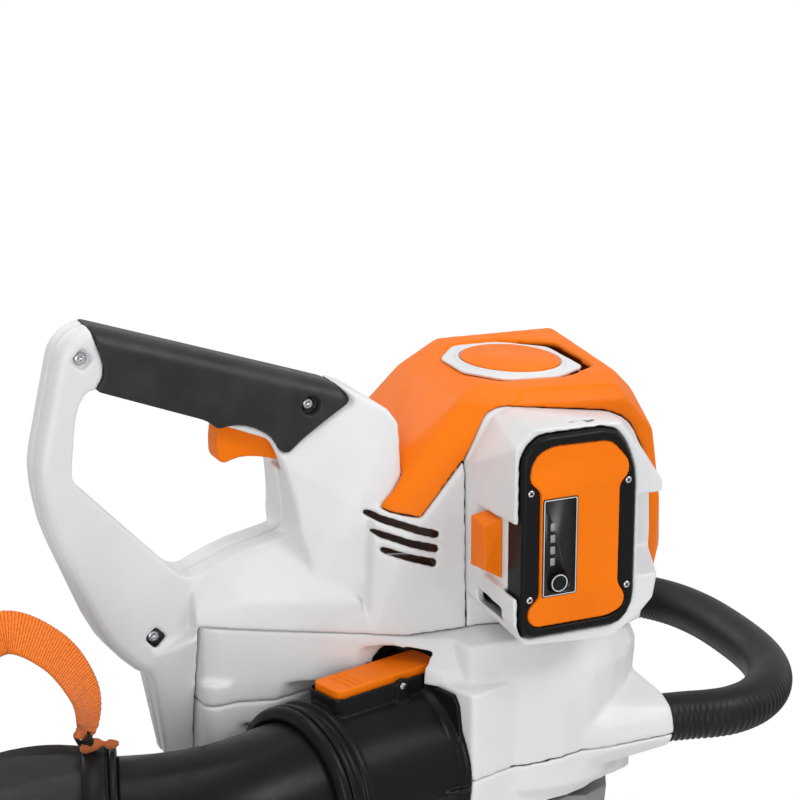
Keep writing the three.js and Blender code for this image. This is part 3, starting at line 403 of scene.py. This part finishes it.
# node: voxel size in millimetres, rounds of easing, share of faces kept
SHELLS = {
    "housing_right": (1.3, 14, 0.3),
    "housing_left": (1.3, 14, 0.3),
    "fan_cover": (1.4, 12, 0.3),
    "fan_base": (1.4, 10, 0.3),
    "motor_hood": (1.2, 24, 0.3),
    "battery_bezel": (1.0, 12, 0.3),
    "grip_cover": (0.8, 16, 0.3),
    "trigger": (0.5, 14, 0.4),
    "badge_plate": (0.6, 4, 0.4),
    "battery_case": (0.8, 4, 0.3),
    "battery_latch": (0.4, 6, 0.4),
    "outlet_latch": (0.5, 8, 0.4),
    "intake_ring": (1.3, 4, 0.3),
    "locking_tab": (0.7, 8, 0.4),
}


def shell(node, voxel, ease, share):
    piece = link("shape_" + node, tidy(frame["nodes"][node].data.copy()))
    moulded(piece, voxel, ease, share)
    return stand_in(piece, MATERIAL_OF_SLOT[SLOT_OF[node]], node)


for node, recipe in SHELLS.items():
    shell(node, *recipe)

# ------------------------------------------------------------------ round and swept pieces


def turned(name, profile, matrix, sides=SMOOTH_SIDES, closed=True):
    vertices, faces = lathe(profile, sides, closed)
    return tidy(mesh_of(name, vertices, faces, matrix))


def eased(before, start, end, after, t):
    """The value at t from start to end, on a smooth curve that also heeds the values on either side."""
    return 0.5 * (
        2 * start
        + (end - before) * t
        + (2 * before - 5 * start + 4 * end - after) * t * t
        + (3 * start - before - 3 * end + after) * t**3
    )


def curve_points(points, steps):
    """A smooth line through the points, with the given number of steps between each two."""
    stops = [Vector(p) for p in points]
    stops = [2 * stops[0] - stops[1], *stops, 2 * stops[-1] - stops[-2]]
    line = []
    for four in zip(stops, stops[1:], stops[2:], stops[3:]):
        line += [eased(*four, i / steps) for i in range(steps)]
    return line + [stops[-2]]


def frames_along(line, side):
    """(place, side, up) at each point of the line, with as little twist as can be."""
    frames = []
    side = Vector(side)
    for i, place in enumerate(line):
        tangent = (line[min(i + 1, len(line) - 1)] - line[max(i - 1, 0)]).normalized()
        side = (side - tangent * side.dot(tangent)).normalized()
        frames.append((place, side, tangent.cross(side)))
    return frames


def swept(points, steps, side, section):
    """(vertices, rows, columns) of a section swept along the points.

    section(distance, share) gives a closed ring of (side, up) pairs.
    """
    frames = frames_along(curve_points(points, steps), side)
    distance = 0.0
    vertices = []
    for i, (place, across, up) in enumerate(frames):
        if i:
            distance += (place - frames[i - 1][0]).length
        ring = section(distance, i / (len(frames) - 1))
        vertices += [place + across * a + up * b for a, b in ring]
    return vertices, len(frames), len(ring)


def round_ring(radius, sides):
    turns = [2 * math.pi * i / sides for i in range(sides)]
    return [(radius * math.cos(turn), radius * math.sin(turn)) for turn in turns]


def pipe(name, points, steps, outer, inner, matrix):
    """A hollow pipe with square ends; outer(distance) is its outside ring, and inner its bore's radius."""
    up = (0, 0, 1)
    vertices, rows, count = swept(points, steps, up, lambda distance, share: outer(distance))
    bore, _, _ = swept(points, steps, up, lambda distance, share: round_ring(inner, count))
    shift = len(vertices)
    faces = grid_faces(rows, count, True)
    faces += [tuple(shift + k for k in reversed(face)) for face in faces]
    last = shift - count
    for i in range(count):
        j = (i + 1) % count
        faces.append((i, shift + i, shift + j, j))
        faces.append((last + i, last + j, shift + last + j, shift + last + i))
    return tidy(mesh_of(name, vertices + bore, faces, matrix))


def spread(values, share):
    """The value at a share of the way along a row of numbers, eased between them."""
    place = share * (len(values) - 1)
    k = min(int(place), len(values) - 2)
    before = values[max(k - 1, 0)]
    after = values[min(k + 2, len(values) - 1)]
    return eased(before, values[k], values[k + 1], after, place - k)


def rounded_box(x0, x1, y0, y1, radius, steps=5):
    """An outline of (x, y) with round corners."""
    centres = (
        (x1 - radius, y1 - radius),
        (x0 + radius, y1 - radius),
        (x0 + radius, y0 + radius),
        (x1 - radius, y0 + radius),
    )
    outline = []
    for quarter, (cx, cy) in enumerate(centres):
        for i in range(steps + 1):
            angle = math.radians(90 * quarter + 90 * i / steps)
            outline.append((cx + radius * math.cos(angle), cy + radius * math.sin(angle)))
    return outline


def quarter_turn(axis, way=1):
    return Matrix.Rotation(way * math.pi / 2, 4, axis)


# ------------------------------------------------------------------ outlet, in its own frame

# DUCT has X down, Y to the near side and Z along the flow.
SOCKET = [
    (50, 0.3), (58, 0.3), (58, 2.6), (56, 4.2), (56, 6), (54.4, 8), (54, 10), (54, 78), (54.6, 79.4), (57, 80),
    (58, 81), (58, 84.6), (57, 85.6), (55.4, 86), (55, 87), (55, 90), (55.6, 91), (57.2, 91.4), (58, 92.4),
    (58, 95), (57, 96), (50, 96),
]
PLATE = [(44, -60), (-50, -47), (-56, -42), (-56, 42), (-50, 47), (44, 60), (50, 42), (50, -42)]
PIN_LINE = DUCT @ Matrix.Translation((-61, 0, 26)) @ quarter_turn("X", -1)  # Z runs along the lever's pin
ALONG_DUCT = DUCT @ quarter_turn("Y", -1)  # X along the outlet, Z up
BOSS_R = 5.2
BOSS_REACH = 14


def bore(radius):
    return prism(round_ring(radius, 64), -30, 130, DUCT)


def pin_boss(low, high):
    """A round boss on one side of the well, with the foot that joins it to the barrel."""
    foot = [(-BOSS_R, 0), (BOSS_R, 0), (BOSS_R, -BOSS_REACH), (-BOSS_R, -BOSS_REACH)]
    head = prism(round_ring(BOSS_R, 32), low, high, PIN_LINE)
    return [head, prism(foot, low, high, PIN_LINE @ quarter_turn("Z"))]


def outlet_socket():
    barrel = turned("barrel", SOCKET, DUCT)
    plate = cut_out(link("plate", prism(PLATE, 0.3, 4.2, DUCT)), [bore(51)])
    tub = link("tub", prism(rounded_box(2, 78.5, -16.6, 16.6, 7), 30, 64, ALONG_DUCT))
    well = prism(rounded_box(-16, 76.4, -14.8, 14.8, 5), 55.5, 90, ALONG_DUCT)
    cut_out(tub, [well, bore(51.5)])
    bosses = pin_boss(-19, -15.8) + pin_boss(15.8, 19)
    rib = [(3, 52), (3, 60), (34, 52)]
    ribs = [prism(rib, x - 1.4, x + 1.4, ALONG_DUCT) for x in (-4, -34)]
    piece = joined("shape_outlet_socket", [barrel, plate.data, tub.data, *bosses, *ribs])
    for spare in (plate, tub):
        bpy.data.objects.remove(spare)
    moulded(piece, 0.85, 3, 0.35)
    stand_in(piece, BLACK, "outlet_socket")


outlet_socket()

ELBOW_PATH = [
    (-159.9, -82, 0), (-196.6, -91.9, 0), (-223.6, -99.1, -1), (-252, -103, -2.5), (-284, -99, -4),
    (-312, -90, -5),
]
elbow_mesh = pipe("elbow", ELBOW_PATH, 14, lambda distance: round_ring(49, 80), 46, UPRIGHT)
stand_in(link("shape_elbow", elbow_mesh), BLACK, "elbow")

COLLAR = [
    (50.2, 96.6), (56.6, 96.6), (57.6, 97.4), (58, 99), (57.4, 101.2), (56, 102.6), (53.6, 103.4), (52.8, 104),
    (50.2, 104),
]
stand_in(link("shape_elbow_collar", turned("elbow_collar", COLLAR, DUCT)), BLACK, "elbow_collar")


def facing(place, way):
    """A frame in the upright one, at a place, with Z along the way."""
    along = Vector(way).normalized()
    side = along.cross(Vector((0, 0, 1))).normalized()
    turn = Matrix((side.cross(along), side, along)).transposed()
    return UPRIGHT @ Matrix.Translation(place) @ turn.to_4x4()


NECK_PLACE = Vector((-312, -90, -5))
NECK_WAY = Vector((-28, 9, -1)).normalized()
NECK = facing(NECK_PLACE, NECK_WAY)
NECK_PROFILE = [
    (46, 0.2), (57.4, 0.2), (58, 0.9), (58, 4), (57.4, 4.6), (50.4, 4.9), (49.8, 6), (49.5, 23), (50, 24.6),
    (51.6, 26), (52, 27), (51.6, 28.6), (50.6, 29), (46, 29),
]


def neck_flange():
    ring = turned("neck_ring", NECK_PROFILE, NECK)
    rib = [(4, 49), (4, 56.4), (14, 49)]
    ribs = []
    for angle in (-52, 128, 38, 218):
        lying = NECK @ Matrix.Rotation(math.radians(angle), 4, "Z") @ quarter_turn("Y", -1)
        ribs.append(prism(rib, -1.1, 1.1, lying))
    stand_in(joined("shape_neck_flange", [ring, *ribs]), BLACK, "neck_flange")


neck_flange()

# ------------------------------------------------------------------ catch bag

# centre, half width, half height and lean of the rings, as the bag hangs from its neck
BAG_RINGS = [
    (NECK_PLACE + NECK_WAY * 5.3, 55.2, 55.2, 0.034),
    (NECK_PLACE + NECK_WAY * 14, 54.6, 54.6, 0.034),
    (NECK_PLACE + NECK_WAY * 23, 56.2, 56.2, 0.034),
    (Vector((-358, -73, -24)), 82, 74, 0.35),
    (Vector((-388, -54, -58)), 112, 98, 0.6),
    (Vector((-424, -28, -120)), 138, 120, 0.9),
    (Vector((-452, -8, -202)), 148, 132, 1.2),
    (Vector((-468, 4, -292)), 148, 134, 1.4),
    (Vector((-476, 10, -376)), 132, 122, 1.5),
    (Vector((-478, 12, -434)), 92, 88, 1.55),
    (Vector((-478, 12, -455)), 40, 40, 1.57),
    (Vector((-478, 12, -457)), 3, 3, 1.57),
]
BAG_ROWS = 150
BAG_SIDES = 180
CLOTH_THICK = 0.9
CUT_WIDTH = 447 * KNIT_PITCH  # round the bag, a whole number of stitches
CUT_LENGTH = 0.66


def bag_point(share, turn, inset):
    """A point of the cloth: share along the bag, turn round it, inset from its outside."""
    centre = Vector([spread([ring[0][k] for ring in BAG_RINGS], share) for k in range(3)])
    width, height, lean = (spread([ring[k] for ring in BAG_RINGS], share) for k in (1, 2, 3))
    yaw = math.atan2(NECK_WAY.y, NECK_WAY.x)
    slack = min(1.0, max(0.0, (share - 0.17) * 5)) * min(1.0, (1 - share) * 6)
    gathers = math.sin(19 * turn + 2.5 * math.sin(3 * turn)) * 3.2 * max(0.0, 1 - abs(share - 0.26) * 6)
    lumps = noise.noise(Vector((3.1 * math.cos(turn), 3.1 * math.sin(turn), share * 9))) * 7
    pleats = abs(noise.noise(Vector((2.2 * math.cos(turn), 2.2 * math.sin(turn), share * 5 + 7)))) * 9
    out = slack * (lumps - pleats) + gathers - inset
    across = (width + out) * math.cos(turn)
    up = (height + out) * math.sin(turn)
    forward = up * math.sin(lean)
    return centre + Vector((
        -math.sin(yaw) * across + math.cos(yaw) * forward,
        math.cos(yaw) * across + math.sin(yaw) * forward,
        up * math.cos(lean),
    ))


def join_cut(mesh):
    """Lets the pattern run on over the line where the cut's two edges meet."""
    layer = mesh.uv_layers["cut"]
    for face in mesh.polygons:
        places = [layer.data[k].uv for k in face.loop_indices]
        if max(uv.x for uv in places) > 0.9 * CUT_WIDTH:
            for uv in places:
                if uv.x < 0.1 * CUT_WIDTH:
                    uv.x += CUT_WIDTH


def ring_skin(rows, columns):
    """Faces of a hollow wall: rows of rings that go down its outside and back up its inside."""
    faces = grid_faces(2 * rows, columns, True)
    last = (2 * rows - 1) * columns
    for j in range(columns):
        k = (j + 1) % columns
        faces.append((last + j, last + k, k, j))
    return faces


def catch_bag():
    vertices = []
    uvs = []
    for inset, order in ((0.0, range(BAG_ROWS)), (CLOTH_THICK, reversed(range(BAG_ROWS)))):
        for i in order:
            share = i / (BAG_ROWS - 1)
            for j in range(BAG_SIDES):
                vertices.append(bag_point(share, 2 * math.pi * j / BAG_SIDES, inset))
                uvs.append((CUT_WIDTH * j / BAG_SIDES, CUT_LENGTH * share))
    piece = link("shape_bag", mesh_of("bag", vertices, ring_skin(BAG_ROWS, BAG_SIDES), UPRIGHT, uvs))
    join_cut(piece.data)
    stand_in(piece, CLOTH, "bag")


catch_bag()

BAND = [(57.2, 7.4), (58.6, 7), (59.4, 8), (59.5, 14), (59.4, 20), (58.6, 21), (57.2, 20.6)]
stand_in(link("shape_neck_band", turned("neck_band", BAND, NECK)), BLACK, "neck_band")

# ------------------------------------------------------------------ carrying strap

STRAP_PATH = [
    (-446, -60, 36), (-432, -63, 74), (-406, -67, 114), (-376, -71, 134), (-348, -76, 119), (-331, -80, 92),
    (-329, -83, 72), (-334, -85, 62),
]
STRAP_HALF = 14
STRAP_RIB = 2.6
STRAP_CUT = (0.28, 0.03)  # metres, as the weave is
ROLL_PATH = [(-335, -86, 58), (-330, -87, 57.4), (-324, -88, 58.6), (-318, -89, 57.2), (-312, -90, 57.4)]


def strap_section(distance, share):
    """Ribbed webbing that curls a little and narrows where the keeper gathers it."""
    pinch = 1 - 0.58 * min(1.0, max(0.0, (share - 0.62) / 0.36)) ** 1.4
    half = STRAP_HALF * pinch
    thick = 0.9 + 0.28 * math.sin(2 * math.pi * distance / STRAP_RIB) + (1 - pinch) * 1.6
    curl = 1.6 * math.sin(distance / 23)
    ring = [(half * t / 6, thick + curl * (t / 6) ** 2) for t in range(-6, 7)]
    ring += [(half * t / 6, -thick + curl * (t / 6) ** 2) for t in range(6, -7, -1)]
    return ring


def roll_section(distance, share):
    """The strap's end, rolled up and wavy, thin at its tip."""
    waves = 3.2 + 1.0 * math.sin(distance / 3.1) + 0.5 * math.sin(distance / 1.3)
    swell = waves * (1 - 0.7 * share**8)
    return [(swell * 1.25 * a, swell * b) for a, b in round_ring(1, 20)]


def solid_strip(name, points, steps, side, section):
    """A swept strip with its two ends closed, its cut in metres kept as UVs."""
    vertices, rows, count = swept(points, steps, side, section)
    faces = grid_faces(rows, count, True)
    faces.append(tuple(range(count)))
    faces.append(tuple(reversed(range((rows - 1) * count, rows * count))))
    length, width = STRAP_CUT
    uvs = [(length * i / rows, width * abs(j - count / 2) / count) for i in range(rows) for j in range(count)]
    return link(name, tidy(mesh_of(name, vertices, faces, UPRIGHT, uvs)))


def strap_keeper():
    """Three turns of thin cord, drawn tight round the gathered strap."""
    around = facing((-332.4, -84.6, 62), (-0.9, -0.3, 1.9)) @ Matrix.Diagonal((0.62, 1, 1, 1))
    strand = round_ring(1.1, 12)
    loops = []
    for turn in (-1, 0, 1):
        profile = [(6.4 + a, b + 2.1 * turn) for a, b in strand]
        loops.append(turned("cord_loop", profile, around, 40))
    trim(joined("strap_keeper", loops), BLACK, BODY_OF["bag_strap"])


strap = solid_strip("shape_bag_strap", STRAP_PATH, 26, (-0.6, 0.75, 0), strap_section)
stand_in(strap, WEBBING, "bag_strap")
roll = solid_strip("strap_roll", ROLL_PATH, 14, (0, 1, 0), roll_section)
trim(roll, WEBBING, BODY_OF["bag_strap"])
strap_keeper()

# ------------------------------------------------------------------ front bow

BOW_LINE = [
    (72.6, -94.4), (90, -98), (106, -102), (123, -103), (144, -97), (164, -83), (180, -63), (191, -38),
    (197, -9), (200, 30), (199, 62), (192, 92), (177, 116), (154, 130), (126, 134), (98, 128), (72.6, 121),
]
BOW_Z = 5
BOW_R = 16.6
BOW_BORE = 12
RIB_PITCH = 4.2
RIB_DEPTH = 1.1
BOW_SIDES = 48


def bow_ring(distance):
    """The hose is smooth outside; fine ribs cross its inner side."""
    ring = []
    wave = 0.5 - 0.5 * math.cos(2 * math.pi * distance / RIB_PITCH)
    for i in range(BOW_SIDES):
        angle = 2 * math.pi * i / BOW_SIDES
        inward = max(0.0, math.cos(angle - math.radians(150)) + 0.35) / 1.35
        radius = BOW_R - RIB_DEPTH * wave * min(1.0, inward * 1.6)
        ring.append((radius * math.cos(angle), radius * math.sin(angle)))
    return ring


bow_mesh = pipe("bow_grip", [(x, y, BOW_Z) for x, y in BOW_LINE], 48, bow_ring, BOW_BORE, UPRIGHT)
stand_in(link("shape_bow_grip", bow_mesh), HOSE, "bow_grip")

# ------------------------------------------------------------------ suction tube

FLOOR_Z = -34
TUBE_END = -700
UPPER_TUBE = [
    (52.5, FLOOR_Z + 1), (55, FLOOR_Z + 1), (55, FLOOR_Z - 12.6), (58.4, FLOOR_Z - 13), (59, FLOOR_Z - 14),
    (59, FLOOR_Z - 21), (58.4, FLOOR_Z - 22), (55, FLOOR_Z - 23), (55, -374), (57, -376), (60, -377),
    (60, -398), (59, -400), (52.5, -400),
]
LOWER_TUBE = [
    (52.5, TUBE_END), (55, TUBE_END), (55, -428), (57, -426), (60, -425), (60, -402), (59, -400.4),
    (52.2, -400.4), (52.2, -381), (51.6, -380), (47.5, -380), (47.5, -430), (52.5, -437),
]
stand_in(link("shape_suction_tube_upper", turned("upper", UPPER_TUBE, FAN)), BLACK, "suction_tube_upper")
stand_in(link("shape_suction_tube_lower", turned("lower", LOWER_TUBE, FAN)), BLACK, "suction_tube_lower")

# shift to the front, depth below the tube's end, lean and width of each ring
NOZZLE_RINGS = [(0, -24, 0, 1), (0, 10, 0, 1), (6, 48, 0.3, 1.05), (26, 88, 0.6, 1.12), (60, 128, 0.75, 1.2)]
NOZZLE_ROWS = 60
NOZZLE_R = 59
NOZZLE_BORE = 56.2


def nozzle_point(radius, share, angle):
    shift, depth, lean, width = (spread([ring[k] for ring in NOZZLE_RINGS], share) for k in range(4))
    out = radius * math.cos(angle)
    x = shift + out * math.cos(lean)
    z = TUBE_END - depth + out * math.sin(lean)
    return x, radius * width * math.sin(angle), z


def nozzle():
    vertices = []
    for radius, order in ((NOZZLE_R, range(NOZZLE_ROWS)), (NOZZLE_BORE, reversed(range(NOZZLE_ROWS)))):
        for i in order:
            for j in range(SMOOTH_SIDES):
                angle = 2 * math.pi * j / SMOOTH_SIDES
                vertices.append(nozzle_point(radius, i / (NOZZLE_ROWS - 1), angle))
    mesh = tidy(mesh_of("nozzle", vertices, ring_skin(NOZZLE_ROWS, SMOOTH_SIDES), FAN))
    stand_in(link("shape_nozzle", mesh), BLACK, "nozzle")


nozzle()

# ------------------------------------------------------------------ battery face

FACE_Y = -150  # the battery's front, in the upright frame
FACING_OUT = quarter_turn("X")  # turns Z towards the near side


def standing(outline, near, far):
    """A prism over an outline of (x, z), between two depths, in the upright frame."""
    return prism(outline, -far, -near, UPRIGHT @ FACING_OUT)


def on_near_side(x, y, z):
    return UPRIGHT @ Matrix.Translation((x, y, z)) @ FACING_OUT


def bent_insert():
    """The orange insert: its top and bottom bands slope back from the flat middle."""
    piece = link("shape_battery_insert", tidy(frame["nodes"]["battery_insert"].data.copy()))
    moulded(piece, 0.55, 5, 0.5)
    back = UPRIGHT.inverted()
    for vertex in piece.data.vertices:
        place = back @ vertex.co
        over = max(0.0, place.z - 202 - 0.06 * (place.x + 26))
        under = max(0.0, 128 - place.z)
        if place.y < FACE_Y + 1.5:
            place.y += min(0.16 * over + 0.13 * under, 2.6)
        vertex.co = UPRIGHT @ place
    stand_in(piece, ORANGE, "battery_insert")


bent_insert()

# ------------------------------------------------------------------ screws


def star_head(name, matrix, radius=4.0, depth=7.0):
    """A button-head screw with a six-lobed recess."""
    head = [
        (0, -depth), (radius * 0.5, -depth), (radius * 0.5, -2), (radius, -2), (radius, -0.9),
        (radius * 0.86, -0.25), (radius * 0.6, 0), (0, 0),
    ]
    piece = link(name, turned(name, head, matrix, 48, False))
    lobes = []
    for i in range(48):
        angle = 2 * math.pi * i / 48
        reach = radius * (0.44 + 0.09 * math.cos(6 * angle))
        lobes.append((reach * math.cos(angle), reach * math.sin(angle)))
    return cut_out(piece, [prism(lobes, -1.5, 2, matrix)])


SCREW_HEADS = {
    "handle_screw_rear": (-303, -13, 281),
    "handle_screw_lower": (-261, -13, 91),
    "grip_screw": (-152, -14.5, 234),
}
for node, place in SCREW_HEADS.items():
    stand_in(star_head("shape_" + node, on_near_side(*place)), STEEL, node)

CASE_SCREWS = [(-60.5, 200.5), (8.6, 200.5), (9.2, 130.5), (-60.5, 130.5)]
for i, (x, z) in enumerate(CASE_SCREWS):
    screw = star_head(f"case_screw_{i + 1}", on_near_side(x, FACE_Y - 0.5, z), 2.4, 2.6)
    trim(screw, STEEL, "battery")

# ------------------------------------------------------------------ badge

BADGE_TILT = Matrix.Rotation(0.045, 4, "Y") @ Matrix.Rotation(0.03, 4, "X")
BADGE = UPRIGHT @ Matrix.Translation((3, 2, 241.3)) @ BADGE_TILT
DISC = [(0, 0.8), (33.8, 0.8), (33.9, 2), (33.4, 2.7), (32.6, 3), (0, 3.1)]
BADGE_RIM = [(34.9, 1.2), (38, 1.2), (37.6, 2.2), (36.6, 2.6), (35.4, 2.2)]
disc = link("shape_badge_disc", turned("badge_disc", DISC, BADGE, SMOOTH_SIDES, False))
stand_in(disc, ORANGE, "badge_disc")
rim = link("badge_ring", turned("badge_ring", BADGE_RIM, BADGE))
trim(rim, WHITE, BODY_OF["badge_plate"])

# ------------------------------------------------------------------ charge label

BUTTON_X = -41
BUTTON_Z = 140
BUTTON_CAP = [(0, 0.5), (6, 0.5), (6, 1.7), (5.6, 2.3), (5, 2.5), (0, 2.1)]
BUTTON_RIM = [(5.0, 2.35), (5.6, 2.35), (5.6, 2.75), (5.0, 2.75)]
PRINT_NEAR = FACE_Y - 1.75
PRINT_FAR = FACE_Y - 1.4


def label_panel():
    outline = rounded_box(-52.6, -28.4, 131.4, 195.6, 1.4)
    panel = link("shape_battery_label", standing(outline, FACE_Y - 1.5, FACE_Y - 0.9))
    button_hole = [(BUTTON_X + x, BUTTON_Z + z) for x, z in round_ring(6.5, 48)]
    cut_out(panel, [standing(button_hole, FACE_Y - 4, FACE_Y + 2)])
    stand_in(panel, GLOSS, "battery_label")


def label_print():
    """The pale outline and the four bars."""
    line = link("label_rim", standing(rounded_box(-52.2, -28.8, 131.8, 195.2, 1.3), PRINT_NEAR, PRINT_FAR))
    cut_out(line, [standing(rounded_box(-51.6, -29.4, 132.4, 194.6, 0.9), FACE_Y - 3, FACE_Y)])
    trim(line, PRINT, "battery")
    for i in range(4):
        low = 152 + 7.6 * i
        outline = rounded_box(-47.5, -44.2, low, low + 5, 0.4, 2)
        bar = link(f"charge_bar_{i + 1}", standing(outline, PRINT_NEAR, PRINT_FAR))
        trim(bar, GREY, "battery")


def test_button():
    matrix = on_near_side(BUTTON_X, FACE_Y, BUTTON_Z)
    cap = link("shape_battery_button", turned("battery_button", BUTTON_CAP, matrix, 64, False))
    stand_in(cap, GLOSS, "battery_button")
    rim = link("button_ring", turned("button_ring", BUTTON_RIM, matrix, 64))
    trim(rim, PRINT, "test_button")


label_panel()
label_print()
test_button()

# ------------------------------------------------------------------ lever pin

LEVER_PIN = [(0, -19.6), (2.1, -19.6), (2.5, -19.2), (2.5, 19.2), (2.1, 19.6), (0, 19.6)]
pin = link("shape_latch_pin", turned("latch_pin", LEVER_PIN, PIN_LINE, 48, False))
stand_in(pin, STEEL, "latch_pin")

# ------------------------------------------------------------------ CAD nodes that stay

for node, piece in frame["nodes"].items():
    if not piece.hide_render:
        piece.data.materials.clear()
        piece.data.materials.append(MATERIAL_OF_SLOT[SLOT_OF[node]])

# ------------------------------------------------------------------ camera, light and floor


def look(location, right, up, forward, lens):
    camera = bpy.data.objects.new("camera", bpy.data.cameras.new("camera"))
    bpy.context.scene.collection.objects.link(camera)
    turn = Matrix((Vector(right), Vector(up), -Vector(forward))).transposed()
    camera.matrix_world = Matrix.Translation(location) @ turn.to_4x4()
    camera.data.lens = lens
    camera.data.sensor_width = 36
    camera.data.clip_end = 30
    bpy.context.scene.camera = camera


def area_light(name, location, target, size, power):
    light = bpy.data.lights.new(name, "AREA")
    light.shape = "RECTANGLE"
    light.size, light.size_y = size
    light.energy = power
    lamp = bpy.data.objects.new(name, light)
    bpy.context.scene.collection.objects.link(lamp)
    lamp.location = location
    lamp.rotation_mode = "QUATERNION"
    lamp.rotation_quaternion = (Vector(location) - Vector(target)).to_track_quat("Z", "Y")


def studio():
    """A white surround that lights softly from above, with a pale floor well below the machine."""
    world = bpy.data.worlds.new("studio")
    bpy.context.scene.world = world
    world.use_nodes = True
    nodes = world.node_tree.nodes
    links = world.node_tree.links
    background = nodes["Background"]
    place = nodes.new("ShaderNodeTexCoord")
    split = nodes.new("ShaderNodeSeparateXYZ")
    links.new(place.outputs["Generated"], split.inputs["Vector"])
    ramp = nodes.new("ShaderNodeValToRGB")
    stops = ramp.color_ramp.elements
    stops[0].position, stops[0].color = 0.0, (0.36, 0.36, 0.365, 1)
    stops[1].position, stops[1].color = 0.55, (0.58, 0.58, 0.59, 1)
    height = nodes.new("ShaderNodeMapRange")
    height.inputs["From Min"].default_value = -1
    links.new(split.outputs["Z"], height.inputs["Value"])
    links.new(height.outputs["Result"], ramp.inputs["Fac"])
    seen = nodes.new("ShaderNodeLightPath")
    choose = nodes.new("ShaderNodeMix")
    choose.data_type = "RGBA"
    links.new(seen.outputs["Is Camera Ray"], choose.inputs["Factor"])
    links.new(ramp.outputs["Color"], choose.inputs[6])
    choose.inputs[7].default_value = (1, 1, 1, 1)
    links.new(choose.outputs[2], background.inputs["Color"])

    floor_z = CAD_BOX[0].z - 0.02
    floor = link("floor", bpy.data.meshes.new("floor"))
    form = bmesh.new()
    bmesh.ops.create_circle(form, cap_ends=True, radius=1.5, segments=96)
    form.to_mesh(floor.data)
    form.free()
    floor.location = (0.1, 0, floor_z)
    pale = Finish("pale_floor", (0.86, 0.86, 0.86), 0.7)
    mottle = pale.ramp(pale.noise(300), [(0.4, pale.tones(0.99)), (0.6, pale.tones(1.0))])
    floor.data.materials.append(pale.done(mottle))

    head = (0.15, 0, -0.1)
    area_light("key", (1.3, -1.6, 1.9), head, (1.4, 1.0), 30)
    area_light("fill", (-1.3, -1.9, -0.1), head, (1.2, 1.2), 17)
    area_light("top", (-0.2, 0.3, 1.6), head, (1.6, 0.7), 9)
    area_light("back", (-0.6, 1.9, 0.8), head, (1.4, 1.0), 7)


look(
    (-0.5608, -1.3901, 0.3573),
    (0.9013, -0.4226, 0.0947),
    (0.0154, 0.2498, 0.9682),
    (0.4328, 0.8712, -0.2317),
    108,
)
studio()
bpy.context.scene.view_settings.view_transform = "Standard"
